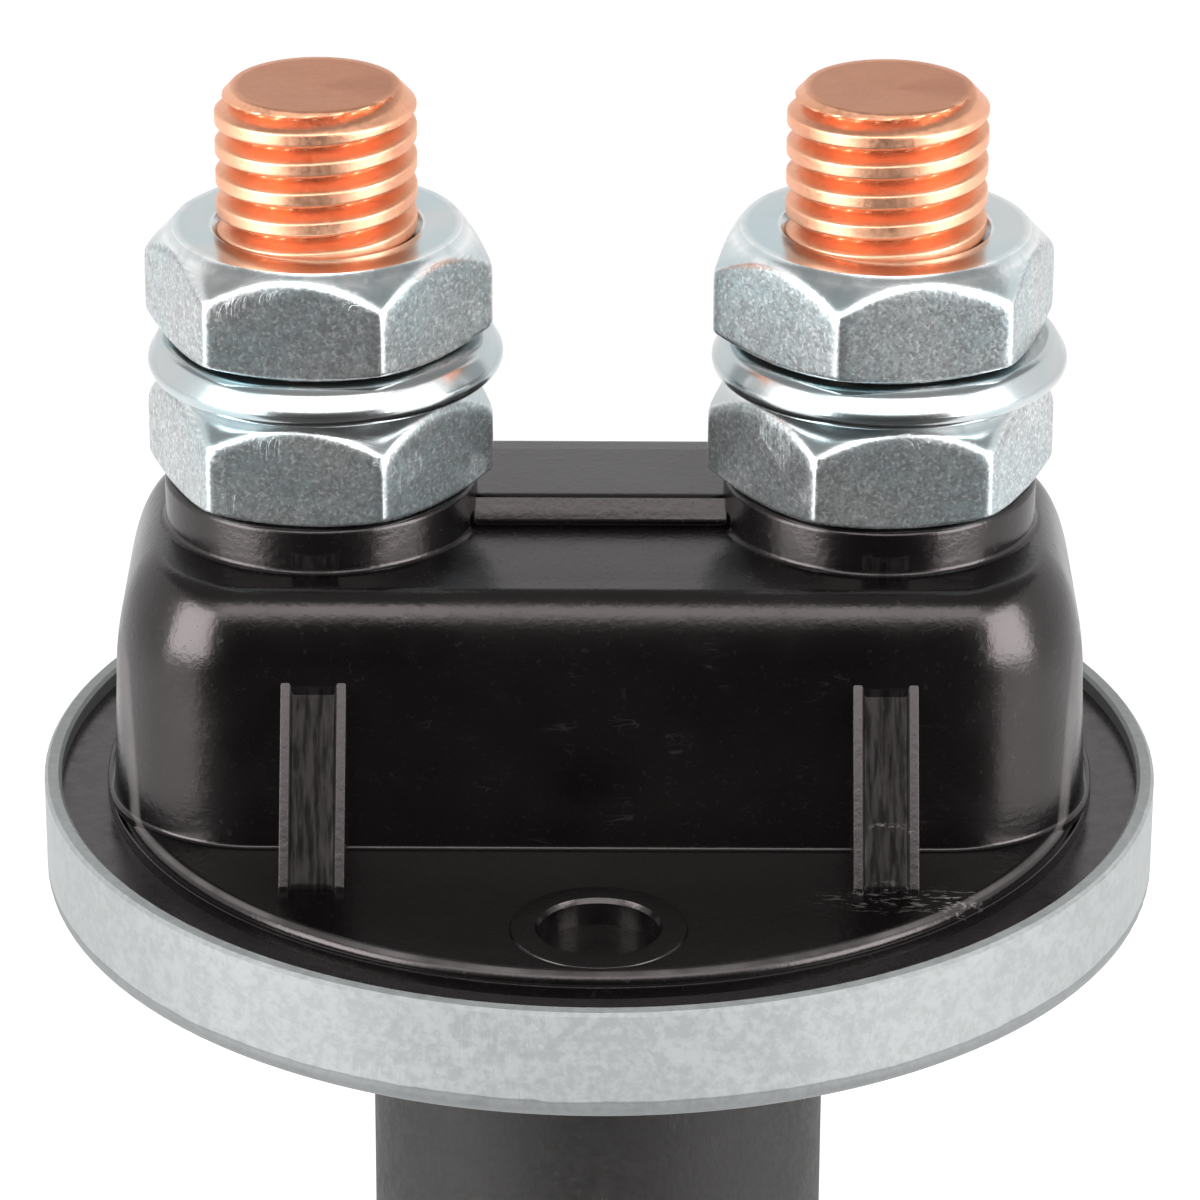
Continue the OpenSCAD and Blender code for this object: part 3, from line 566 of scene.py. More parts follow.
def toned(base, share):
    """A darker or paler version of a colour."""
    return tuple(min(1.0, c * share) for c in base)


def patch_mask(n, where, centre, reach):
    """A mask that is one near a place and fades to nothing at its reach, both in millimetres."""
    away = n.vector("SUBTRACT", where, [c * MM for c in centre])
    return n.fade(n.vector("LENGTH", n.vector("DIVIDE", away, [c * MM for c in reach])), 0.35, 1.0)


def web_mask(n, where):
    """A mask over the sunken webs of the gusset ribs."""
    s = moulding_sizes()
    x, y, z = n.parts(where)
    half = (s.rib_width / 2 - s.rib_strip) * MM
    across = n.fade(n.gap(n.math("ABSOLUTE", x), STUD_X * MM), half - 0.1 * MM, half + 0.1 * MM)
    slant = (s.rib_reach + RIB_HEAD) / (s.rib_height - RIB_TOE)
    level = s.block_depth / 2 + s.rib_reach - s.rib_web + slant * (s.platform_top + RIB_TOE)
    off = n.gap(n.plus(n.math("ABSOLUTE", y), z, slant), level * MM)
    return n.times(across, n.fade(off, 0.2 * MM, 0.4 * MM))


def brink_highlight_mask(n, where):
    """A mask for a painted highlight along the upper edge of the platform, in patches."""
    s = moulding_sizes()
    from_axis = n.vector("LENGTH", n.vector("MULTIPLY", where, (1.0, 1.0, 0.0)))
    brink = (s.platform_radius - s.platform_step - 0.45 * s.platform_round) * MM
    ring = n.fade(n.gap(from_axis, brink), 0.06 * MM, 0.22 * MM)
    height = n.steps(n.parts(where)[2], (s.platform_top - 0.7) * MM, (s.platform_top - 0.5) * MM)
    patchy = n.steps(n.noise(where, 160.0, 3.0, 0.6), 0.35, 0.65, 0.25, 0.75)
    return n.times(n.times(ring, height), patchy)


def black_moulding_finish():
    """Glossy black thermoset with a fine grain, thin scratches, scuffs, duller webs and a painted highlight
    along the platform's upper edge.
    """
    material, n, shader, where = new_material("black_moulding")
    grain = use(n, "grain", where, grain_scale=2300.0, cloud_scale=90.0)
    scratches = use(n, "scratches", where, scale=220.0, amount=0.5)
    streaks = n.mapped(where, (0.35, 1.0, 1.0), (0.0, 0.0, 0.25))
    torn = n.steps(n.noise(streaks, 2600.0, 4.0, 0.7), 0.53, 0.62)
    wide, middle, rib = (n.times(patch_mask(n, where, *spot), share) for *spot, share in SCUFFS)
    scuff = n.times(n.math("MAXIMUM", n.plus(wide, middle), rib), torn)
    # The platform's upper edge gets a painted highlight, joined to the real scuffs.
    scuff = n.math("MAXIMUM", scuff, n.times(brink_highlight_mask(n, where), 0.55))
    wear_and_edge_highlight = n.plus(n.times(scratches["Mask"], 0.08), scuff, clamp=True)
    web = web_mask(n, where)
    strand = n.noise(n.mapped(where, (1.0, 0.12, 0.12)), 3200.0, 3.0, 0.6)
    dull = n.times(web, n.steps(strand, 0.35, 0.65, 0.55, 1.0))
    rough = n.plus(n.steps(grain["Cloud"], 0.0, 1.0, 0.21, 0.26), grain["Speckle"], 0.10)
    n.fill(shader, {
        "Base Color": n.mix(wear_and_edge_highlight, finish_colours().moulding, (0.30, 0.28, 0.27)),
        "Roughness": n.plus(n.plus(rough, wear_and_edge_highlight, 0.5), web, 0.22, clamp=True),
        "IOR": 1.54,
        "Specular IOR Level": n.minus(0.5, n.times(dull, 0.42)),
        "Specular Tint": (1.0, 0.89, 0.90, 1.0),
        "Normal": n.bump(grain["Height"], 0.55),
    })
    return material


def copper_finish():
    """Drawn copper, with a painted highlight on the crests and painted shade in the grooves."""
    material, n, shader, where = new_material("copper")
    base = finish_colours().copper
    grain = use(n, "grain", where, grain_scale=3600.0, cloud_scale=260.0)
    crest, face = n.attribute("edge"), n.attribute("cut_face")
    dark = tuple(c * share for c, share in zip(base, (0.74, 0.64, 0.58)))
    # Painted shade in the grooves, where the edge mask is low.
    tone = n.mix(n.fade(crest, 0.0, 0.45), base, dark, 0.85)
    tone = n.mix(n.steps(grain["Cloud"], 0.2, 1.0), tone, dark, 0.25)
    # A painted highlight on the crests.
    tone = n.mix(n.steps(crest, 0.80, 1.0), tone, (0.95, 0.60, 0.44), 0.12)
    tone = n.mix(face, tone, (0.46, 0.22, 0.145), 0.62)
    n.fill(shader, {
        "Base Color": n.mix(grain["Speckle"], tone, dark, 0.35),
        "Metallic": 1.0,
        "Roughness": n.plus(n.steps(grain["Height"], 0.3, 0.7, 0.34, 0.48), face, 0.15),
        "Normal": n.bump(grain["Height"], 0.30),
    })
    return material


def plating_finish():
    """Bright zinc plating: dull speckled flats, painted highlights along the edges, a painted blue-green
    reflection in cloudy patches, and scratches.
    """
    material, n, shader, where = new_material("zinc_plating")
    colours = finish_colours()
    grain = use(n, "grain", where, grain_scale=3900.0, cloud_scale=130.0)
    fleck = n.steps(n.noise(where, 3700.0), 0.55, 0.66)
    scratches = use(n, "scratches", where, scale=150.0, amount=0.3)["Mask"]
    edges = use(n, "edges", where, breakup=700.0)
    flat = n.attribute("flat")
    # A painted teal reflection, laid over the plating in cloudy patches.
    plating_and_teal_reflection = n.mix(grain["Cloud"], colours.plating, (0.40, 0.56, 0.60), 0.55)
    dull = n.mix(n.steps(grain["Height"], 0.35, 0.62), colours.plating_shade, plating_and_teal_reflection)
    dull = n.mix(fleck, dull, (0.80, 0.82, 0.82), 0.70)
    tone = n.mix(scratches, n.mix(flat, plating_and_teal_reflection, dull), (0.90, 0.91, 0.91), 0.7)
    rough = n.plus(n.steps(flat, 0.0, 1.0, 0.20, 0.30), grain["Speckle"], 0.06)
    height = n.plus(grain["Height"], scratches, -0.6)
    n.fill(shader, {
        # A painted highlight along the nuts' edges.
        "Base Color": n.mix(edges["Mask"], tone, (0.95, 0.96, 0.96)),
        "Metallic": n.steps(flat, 0.0, 1.0, 1.0, 0.90),
        "Roughness": n.plus(rough, scratches, 0.12),
        "Normal": n.bump(height, n.steps(flat, 0.0, 1.0, 0.15, 0.55)),
    })
    return material


def casting_finish():
    """Matt die-cast zinc with a blasted grain, a few marks, and painted shade along the lower edge of its
    rim.
    """
    material, n, shader, where = new_material("zinc_casting")
    base = finish_colours().casting
    grain = use(n, "grain", where, grain_scale=1700.0, cloud_scale=70.0)
    scratches = use(n, "scratches", where, scale=150.0, amount=0.5)
    tone = n.mix(grain["Cloud"], toned(base, 0.95), toned(base, 1.03), 0.6)
    tone = n.mix(n.steps(grain["Height"], 0.40, 0.60, 0.45, 0.0), tone, toned(base, 0.66))
    tone = n.mix(scratches["Mask"], tone, (0.68, 0.69, 0.69), 0.5)
    # Painted shade: a dark band along the rim's downward-facing lower edge and a thin dark line where its
    # rounding begins.
    ragged = n.plus(n.parts(where)[2], n.noise(where, 400.0), 0.3 * MM)
    low, high = RIM_FOOT * MM, (RIM_FOOT + moulding_sizes().rim_shade_band) * MM
    band = n.times(n.steps(ragged, low - 0.2 * MM, low), n.fade(ragged, high, high + 0.25 * MM))
    line = n.fade(n.gap(ragged, high + 0.12 * MM), 0.04 * MM, 0.16 * MM)
    shade = n.math("MAXIMUM", n.times(band, 0.55), n.times(line, 0.60))
    n.fill(shader, {
        "Base Color": n.mix(shade, tone, (0.10, 0.105, 0.11)),
        "Metallic": 0.1,
        "Roughness": n.steps(grain["Height"], 0.3, 0.7, 0.42, 0.58),
        "Normal": n.bump(grain["Height"], 0.55, 0.1 * MM),
    })
    return material


def lever_finish():
    """Finely grained dark nylon, a little paler where it is handled."""
    material, n, shader, where = new_material("lever_nylon")
    base = finish_colours().lever
    grain = use(n, "grain", where, grain_scale=2100.0, cloud_scale=60.0)
    scratches = use(n, "scratches", where, scale=120.0, amount=0.4)
    pale = toned(base, 1.9)
    tone = n.mix(grain["Speckle"], base, pale, 0.40)
    tone = n.mix(grain["Cloud"], tone, pale, 0.18)
    n.fill(shader, {
        "Base Color": n.mix(scratches["Mask"], tone, (0.22, 0.21, 0.20), 0.35),
        "Roughness": n.steps(grain["Height"], 0.3, 0.7, 0.50, 0.66),
        "Specular IOR Level": 0.38,
        "Normal": n.bump(grain["Height"], 0.6, 0.1 * MM),
    })
    return material


def plain_finish(name, base, metallic, low, high, scale, strength, contrast=0.15):
    """A plain finish with fine grain and a range of roughness, for the smaller and the inner pieces."""
    material, n, shader, where = new_material(name)
    grain = use(n, "grain", where, grain_scale=scale, cloud_scale=scale / 20)
    dark = toned(base, 1 - 2 * contrast)
    tone = n.mix(n.steps(grain["Height"], 0.35, 0.62, 0.8, 0.0), base, dark)
    n.fill(shader, {
        "Base Color": n.mix(grain["Cloud"], tone, dark, 0.35),
        "Metallic": metallic,
        "Roughness": n.steps(grain["Height"], 0.3, 0.7, low, high),
        "Normal": n.bump(grain["Height"], strength),
    })
    return material


# Pieces


class SWITCH_OT_moulding(bpy.types.Operator):
    """Builds the black moulding with its block, ribs, collars, pad, dimples and cavity"""

    bl_idname = "switch.moulding"
    bl_label = "Black moulding"

    def block(self, s):
        foot, top = s.platform_top, s.block_top
        plain, wide = (
            np.array(rounded_outline(s.block_length / 2 + k, s.block_depth / 2 + k, s.block_corner + k))
            for k in (0, 1)
        )
        outwards = wide - plain
        share = outwards[:, 0] ** 2
        reach = s.front_round + (s.end_round - s.front_round) * share
        drop = s.front_drop + (s.end_drop - s.front_drop) * share
        lean = s.block_draft / (top - foot)
        rings = []

        def ring(out, z):
            out = np.full(len(plain), out)
            rings.append(np.column_stack([plain + outwards * out[:, None], np.full(len(plain), z)]))

        ring(s.foot_fillet, foot - 0.4)
        for a in np.radians(np.arange(0, 91, 15)):
            ring(s.foot_fillet * (1 - math.sin(a)), foot + s.foot_fillet * (1 - math.cos(a)))
        for t in (0.25, 0.5, 0.75, 1.0):
            z = foot + s.foot_fillet + (top - drop - foot - s.foot_fillet) * t
            ring(-lean * (z - foot), z)
        for a in np.radians(np.linspace(0, 90, 19)[1:]):
            ring(-lean * (top - drop - foot) - reach * (1 - math.cos(a)), top - drop + drop * math.sin(a))
        return skinned("block", rings)

    def platform(self, s):
        edge, rounding = s.platform_radius - s.platform_step, s.platform_round
        step, step_round = (s.platform_top + s.flange_top + 1.4) / 2, 0.12
        profile = [(0, MOULD_FOOT), (s.flange_radius, MOULD_FOOT), (s.flange_radius, s.flange_top)]
        profile += [(s.platform_radius, s.flange_top), (s.platform_radius, step - 0.08)]
        profile += arc(s.platform_radius - step_round, step - step_round, step_round, 0, 90, 3)
        profile += [(edge, step)] + arc(edge - rounding, s.platform_top - rounding, rounding, 0, 90, 8)
        profile += [(edge * k, s.platform_top) for k in (0.9, 0.7, 0.4, 0.15, 0)]
        return lathe("platform", profile, 256)

    def collar(self, s, side):
        r, top, foot, fillet, rounding = s.collar_radius, LOWER_FOOT, s.block_top, 0.38, 0.35
        profile = [(0, foot - 0.6), (r + fillet, foot - 0.6)]
        profile += arc(r + fillet, foot + fillet, fillet, 270, 180, 6)
        profile += arc(r - rounding, top - rounding, rounding, 0, 90, 5) + [(0, top)]
        return lathe("collar", profile, 128, (side * STUD_X, 0))

    def pad(self, s, half):
        top, foot, front, back = s.pad_top, s.block_top, -1.0, 7
        section = (
            (back, foot - 1), (back, top - 0.3), (back - 0.3, top), (front + 0.15, top),
            (front - 0.1, top - 0.12), (front - 0.75, foot + 0.35), (front - 0.8, foot + 0.2),
            (front - 0.8, foot - 1),
        )
        piece = skinned("pad", [[(x, y, z) for y, z in section] for x in (-half, half)])
        outward(piece)
        return piece

    def rib(self, s, side_x, side_y):
        face, half = s.block_depth / 2, s.rib_width / 2
        low, high = s.platform_top - 0.5, s.platform_top + s.rib_height
        strip = [(-half, 0), (s.rib_strip - half, 0), (s.rib_strip + 0.15 - half, s.rib_web)]
        rings = []
        for x, sunk in strip + [(-x, sunk) for x, sunk in reversed(strip)]:
            toe, head = face + s.rib_reach - sunk, face - RIB_HEAD - sunk
            section = (
                (face - RIB_ROOT, low), (toe, low), (toe, s.platform_top + RIB_TOE),
                (head, high), (face - RIB_ROOT, high),
            )
            rings.append([(side_x * STUD_X + x, side_y * y, z) for y, z in section])
        piece = skinned("rib", rings)
        outward(piece)
        round_edges(piece, 0.22, 2)
        return piece

    def hollows(self, s, inner, dimple_y):
        """The solids that are cut from the moulding."""
        wall, slack, cam_room, spring_room = 3.2, 0.02, 17.05, 2.7
        half_x, half_y = s.block_length / 2 - wall, s.block_depth / 2 - wall
        outline = rounded_outline(half_x, half_y, 4, 8, 1)
        cavity = skinned("cavity", [[(x, y, z) for x, y in outline] for z in (MOULD_FOOT - 1, CAVITY_TOP)])
        cuts = [
            cavity, rod("cam_pocket", cam_room, 0, levels("shaft_clip")[0] + 0.3, 96),
            rod("spring_pocket", spring_room, CAVITY_TOP - 1, CAVITY_TOP + 1.8, 48),
            boxed("groove", (-inner, -2.8, s.block_top - 0.4), (inner, -1.9, s.block_top + 1)),
        ]
        hole, middle = terminal_sizes().core_radius + slack, (CAVITY_TOP + s.block_top) / 2
        low, high = middle - 0.5 - slack, middle + 0.5 + slack
        stud_hole = [(0, CAVITY_TOP - 1), (hole, CAVITY_TOP - 1), (hole, low), (hole + 1, low)]
        stud_hole += [(hole + 1, high), (hole, high), (hole, LOWER_FOOT + 1), (0, LOWER_FOOT + 1)]
        r, top = s.dimple_radius, s.platform_top
        dimple = [(0, top - 1.6), (r - 0.14, top - 1.6), (r - 0.1, top - 0.15)]
        dimple += [(r + 0.08, top + 0.1), (r + 0.3, top + 0.5), (0, top + 0.5)]
        for side, _ in SIDES:
            cuts.append(lathe("stud_hole", stud_hole, 96, (side * STUD_X, 0)))
            cuts.append(lathe("dimple", dimple, 96, (0, side * dimple_y)))
        return cuts

    def execute(self, context):
        s = moulding_sizes()
        base, top = self.platform(s), s.platform_top
        adds = [self.block(s)] + [self.collar(s, side) for side, _ in SIDES]
        adds += [self.rib(s, x, y) for x, _ in SIDES for y, _ in SIDES]
        inner = STUD_X - s.collar_radius + 1.2
        adds.append(self.pad(s, inner))
        dimple_y = s.platform_radius - s.dimple_ring - 0.9
        ring = [(0, top - 0.5), (s.dimple_ring + 0.05, top - 0.5), (s.dimple_ring + 0.05, top)]
        ring += arc(s.dimple_ring - 0.1, top + 0.04, 0.1, 0, 90, 4) + [(0, top + 0.14)]
        adds += [lathe("dimple_ring", ring, 96, (0, side * dimple_y)) for side, _ in SIDES]
        combine(base, adds, "UNION")
        combine(base, self.hollows(s, inner, dimple_y), "DIFFERENCE")
        base.name = base.data.name = "black_moulding"
        crisp(base, 28.0)
        place(base, BODY, black_moulding_finish(), "black_moulding", "base_moulding")
        return {"FINISHED"}


def geometry_group(name, numbers, counts=()):
    """A node group that grows a mesh from numbers, counts and a finish."""
    inputs = {**dict.fromkeys(numbers, "Float"), **dict.fromkeys(counts, "Int"), "Finish": "Material"}
    return node_group(name, "GeometryNodeTree", inputs, {"Geometry": "Geometry"})


def give_out(n, given, out, mesh):
    """Gives a grown mesh its finish and leads it out of its group."""
    real = n.add("GeometryNodeRealizeInstances", {"Geometry": mesh}).outputs[0]
    finished = n.add("GeometryNodeSetMaterial", {"Geometry": real, "Material": given["Finish"]})
    n.set(out["Geometry"], finished.outputs[0])


def thread_tree():
    """A node tree that turns a grid into a helical thread with a chamfered tip."""
    numbers = ("Radius", "Pitch", "Depth", "Start", "End", "Chamfer", "Place X")
    tree, n, given, out = geometry_group("Helical thread", numbers, ("Around", "Rows"))
    grid = n.add("GeometryNodeMeshGrid", {
        "Size X": 1.0, "Size Y": 1.0, "Vertices X": given["Around"], "Vertices Y": given["Rows"],
    })
    across, along, _ = n.parts(n.add("GeometryNodeInputPosition").outputs[0])
    turn, climb = n.plus(across, 0.5), n.plus(along, 0.5)
    cap = 0.06
    bottom = n.steps(climb, 0.0, cap, smooth=False)
    top = n.fade(climb, 1 - cap, 1.0, smooth=False)
    share = n.steps(climb, cap, 1 - cap, smooth=False)
    z = n.plus(given["Start"], n.times(n.minus(given["End"], given["Start"]), share))
    turns_up = n.math("DIVIDE", z, given["Pitch"])
    phase = n.math("FRACT", n.plus(n.minus(turns_up, turn), 40.25))
    crest = n.steps(n.gap(n.times(phase, 2.0), 1.0), -0.08, 0.66)
    free = n.minus(given["Radius"], n.times(given["Depth"], n.minus(1.0, crest)))
    chamfered = n.plus(n.minus(given["Radius"], given["Chamfer"]), n.minus(given["End"], z), 0.92)
    radius = n.math("SMOOTH_MIN", free, chamfered)
    radius.node.inputs[2].default_value = 0.12
    radius = n.times(radius, n.times(bottom, n.math("POWER", top, 0.9)))
    turn = n.times(turn, 2 * math.pi)
    x = n.plus(given["Place X"], n.times(radius, n.math("COSINE", turn)))
    y = n.times(radius, n.math("SINE", turn))
    dished = n.plus(z, n.minus(1.0, top), -0.10)
    target = n.joined(*(n.times(value, MM) for value in (x, y, dished)))
    result = grid.outputs["Mesh"]
    # Kept before the points move, because the masks are read off the flat grid. The edge mask gives the
    # crests a painted highlight and the grooves painted shade.
    for label, value in (("edge", crest), ("cut_face", n.fade(top, 0.9, 1.0))):
        kept = n.add("GeometryNodeStoreNamedAttribute", {"Name": label, "Geometry": result},
                     data_type="FLOAT", domain="POINT")
        n.set(next(i for i in kept.inputs if i.name == "Value" and i.enabled), value)
        result = kept.outputs[0]
    moved = n.add("GeometryNodeSetPosition", {"Geometry": result, "Position": target})
    merged = n.add("GeometryNodeMergeByDistance", {"Geometry": moved.outputs[0], "Distance": 1e-6})
    give_out(n, given, out, merged.outputs[0])
    return tree


def grown(name, tree, values):
    """A plain mesh object grown by a node tree with the given inputs."""
    piece = linked(name, bpy.data.meshes.new(name))
    modifier = piece.modifiers.new("Shape", "NODES")
    modifier.node_group = tree
    for item in tree.interface.items_tree:
        if item.in_out == "INPUT":
            modifier[item.identifier] = values[item.name]
    settle(piece)
    outward(piece)
    return piece


def joined(name, pieces):
    """Several mesh objects joined into the first, keeping their attributes."""
    with bpy.context.temp_override(
        active_object=pieces[0], selected_editable_objects=pieces, selected_objects=pieces
    ):
        bpy.ops.object.join()
    pieces[0].name = pieces[0].data.name = name
    return pieces[0]


class SWITCH_OT_studs(bpy.types.Operator):
    """Builds the two copper studs with their heads, shanks and helical threads"""

    bl_idname = "switch.studs"
    bl_label = "Copper studs"

    def shank(self, s, x, top):
        foot, head, r = STUD_FOOT, 7.8, s.core_radius
        middle = (CAVITY_TOP + moulding_sizes().block_top) / 2
        profile = [(0, foot), (head - 0.3, foot), (head, foot + 0.3), (head, CAVITY_TOP), (r, CAVITY_TOP)]
        profile += [(r, middle - 0.5), (r + 1, middle - 0.5), (r + 1, middle + 0.5), (r, middle + 0.5)]
        piece = lathe("shank", profile + [(r, top), (0, top)], 96, (x, 0))
        # A middling edge value, so the shank gets neither the painted crest highlight nor the painted groove
        # shade.
        set_attribute(piece, "edge", 0.6)
        set_attribute(piece, "cut_face", 0.0)
        crisp(piece)
        return piece

    def execute(self, context):
        s, tree, finish = terminal_sizes(), thread_tree(), copper_finish()
        start = UPPER_TOP - 0.55
        for side, word in SIDES:
            thread = grown("thread", tree, {
                "Radius": s.thread_radius, "Pitch": s.thread_pitch, "Depth": s.thread_depth,
                "Start": start, "End": STUD_TOP + s.tip_rise, "Chamfer": s.tip_chamfer,
                "Place X": side * STUD_X, "Around": 161, "Rows": 150, "Finish": finish,
            })
            crisp(thread, 50.0)
            stud = joined("copper_stud_" + word, [thread, self.shank(s, side * STUD_X, start + 0.3)])
            place(stud, BODY, finish, "copper", "stud_" + word)
        return {"FINISHED"}


class SWITCH_OT_nuts(bpy.types.Operator):
    """Builds the four terminal nuts, chamfered deeper on top than below"""

    bl_idname = "switch.nuts"
    bl_label = "Terminal nuts"

    def heights(self, span, reach):
        """Heights of the rows of a nut's outer face, closer together near both of its ends."""
        half = [*np.linspace(0, reach, 22), *np.linspace(reach, span / 2, 4)[1:]]
        return half + [span - t for t in reversed(half[:-1])]

    def nut(self, s, name, x, low, high, turn, steep):
        """A nut whose outer face follows the nearest of its flats, its two cones and its round face."""
        apothem, corner = s.nut_flats / 2, s.nut_flats / 2 / math.cos(math.radians(30))
        face, bore, span, slope = apothem - s.nut_inset, s.core_radius + 0.05, high - low, 1.1
        edge_power, edge_fade, foot_slope = 60.0, 190, 0.4
        ticks = (0, 0.35, 0.7, 1.1, 1.6, 2.3, 3.5, 5.5, 8.5, 12, 16, 20.5, 25, 30)
        corners = range(0, 360, 60)
        angles = sorted({round(a + way * t, 3) % 360 for a in corners for t in ticks for way in (-1, 1)})
        shoulder = s.nut_inset * slope
        reach = min((shoulder + (corner - apothem) * steep) * 1.12, span / 2 - 0.2)
        rows, edge, flat = [], [], []

        def outer(a, t):
            ways = [math.cos(math.radians(a - 30 - 60 * k)) / apothem for k in range(6)]
            ways = [w for w in ways if w > 0.02]
            ways.append(1 / (face + (span - t) / slope))
            ways.append(1 / max(apothem + (span - t - shoulder) / steep, face))
            ways.append(1 / (apothem - s.nut_foot + t / foot_slope))
            ways.sort(reverse=True)
            # How near the nearest edge is; the finish paints a highlight along the nut's edges from it.
            near = math.exp(-(ways[0] / ways[1] - 1) * edge_fade)
            on_flat = abs(ways[0] * apothem - math.cos(math.radians(a % 60 - 30))) < 1e-6
            return sum(w ** edge_power for w in ways) ** (-1 / edge_power), 0.8 * near, float(on_flat)

        for t in self.heights(span, reach):
            row = [outer(a, t) for a in angles]
            rows.append([(r, low + t) for r, _, _ in row])
            edge.append([e for _, e, _ in row])
            flat.append([f for _, _, f in row])
        mouth, brim = s.nut_mouth, face - 0.12
        # The brim and the mouth get a painted edge highlight too.
        closing = [(brim, span, 0.5), (brim - 0.5, span, 0.0), ((brim + mouth) / 2, span, 0.0)]
        closing += [(mouth + 0.2, span, 0.0), (mouth, span - 0.05, 0.5)]
        closing += [(bore + 0.05, span - 1.0, 0.1), (bore, span - 1.1, 0.0)]
        for r, t, e in closing + [(r, span - t, e) for r, t, e in reversed(closing)]:
            rows.append([(r, low + t)] * len(angles))
            edge.append([e] * len(angles))
            flat.append([0.0] * len(angles))
        around = np.radians(np.array(angles) + turn)
        points = [
            (x + r * math.cos(a), r * math.sin(a), z) for row in rows for a, (r, z) in zip(around, row)
        ]
        piece = new_piece(name, points, wrapped_faces(len(rows), len(angles), True))
        set_attribute(piece, "edge", np.ravel(edge))
        set_attribute(piece, "flat", np.ravel(flat))
        crisp(piece, 26.0)
        return piece

    def execute(self, context):
        s, finish = terminal_sizes(), shared("plating")
        stacks = (
            ("lower_nut_", LOWER_FOOT, LOWER_TOP, 0.85, (53.0, 6.0)),
            ("upper_nut_", UPPER_FOOT, UPPER_TOP, 1.0, (53.0, 13.0)),
        )
        # Kind, lower and upper level, steepness of the upper cone, turns of the left and the right nut.
        for kind, low, high, steep, turns in stacks:
            for (side, word), turn in zip(SIDES, turns):
                nut = self.nut(s, "plated_" + kind + word, side * STUD_X, low, high, turn, steep)
                place(nut, BODY, finish, "zinc_plate", kind + word)
        return {"FINISHED"}


def washer_tree():
    """A node tree that sweeps a rounded section along one open helical turn."""
    numbers = ("Mean radius", "Width", "Section", "Lean", "Round", "Rise", "Open share")
    tree, n, given, out = geometry_group("Spring washer", numbers)
    radius, width, section, lean, rounding, rise = (n.times(given[label], MM) for label in numbers[:-1])
    wire = n.add("GeometryNodeCurveSpiral", {
        "Resolution": 192, "Rotations": n.minus(1.0, given["Open share"]),
        "Start Radius": radius, "End Radius": radius, "Height": rise,
    })
    upright = n.add("GeometryNodeSetCurveNormal", {"Curve": wire.outputs[0]}, mode="Z_UP")
    half_w, half_h = n.times(width, 0.5), n.times(section, 0.5)
    wide, narrow = n.times(half_w, -1.0), n.times(n.minus(half_w, lean), -1.0)
    under = n.times(half_h, -1.0)
    corners = ((half_w, half_h), (wide, half_h), (narrow, under), (half_w, under))
    box = n.add("GeometryNodeCurvePrimitiveQuadrilateral", mode="POINTS")
    for k, corner in enumerate(corners):
        n.set(box.inputs["Point %d" % (k + 1)], n.joined(*corner))
    rounded = n.add("GeometryNodeFilletCurve", {
        "Curve": box.outputs[0], "Count": 8, "Radius": rounding,
    }, mode="POLY")
    swept = n.add("GeometryNodeCurveToMesh", {
        "Curve": upright.outputs[0], "Profile Curve": rounded.outputs[0], "Fill Caps": True,
    })
    give_out(n, given, out, swept.outputs[0])
    return tree


class SWITCH_OT_lock_washers(bpy.types.Operator):
    """Builds the two spring lock washers, each split at the back"""

    bl_idname = "switch.lock_washers"
    bl_label = "Lock washers"

    def execute(self, context):
        s, tree, finish = terminal_sizes(), washer_tree(), shared("plating")
        width = s.washer_radius - s.washer_bore
        middle = (WASHER_FOOT + WASHER_TOP) / 2
        split_at_back = Matrix.Rotation(math.radians(93), 4, "Z")
        tilted = Matrix.Rotation(-s.washer_tilt, 4, "Y")
        for side, word in SIDES:
            node = "lock_washer_" + word
            piece = grown("plated_" + node, tree, {
                "Mean radius": s.washer_bore + width / 2, "Width": width, "Section": s.washer_section,
                "Lean": s.washer_lean, "Round": s.washer_round, "Rise": 0.1, "Open share": 0.018,
                "Finish": finish,
            })
            to = Vector((side * STUD_X + s.washer_shift, 0, middle - 0.05)) * MM
            piece.data.transform(Matrix.Translation(to) @ tilted @ split_at_back)
            set_attribute(piece, "edge", 0.0)
            set_attribute(piece, "flat", 0.0)
            crisp(piece, 40.0)
            place(piece, BODY, finish, "zinc_plate", node)
        return {"FINISHED"}


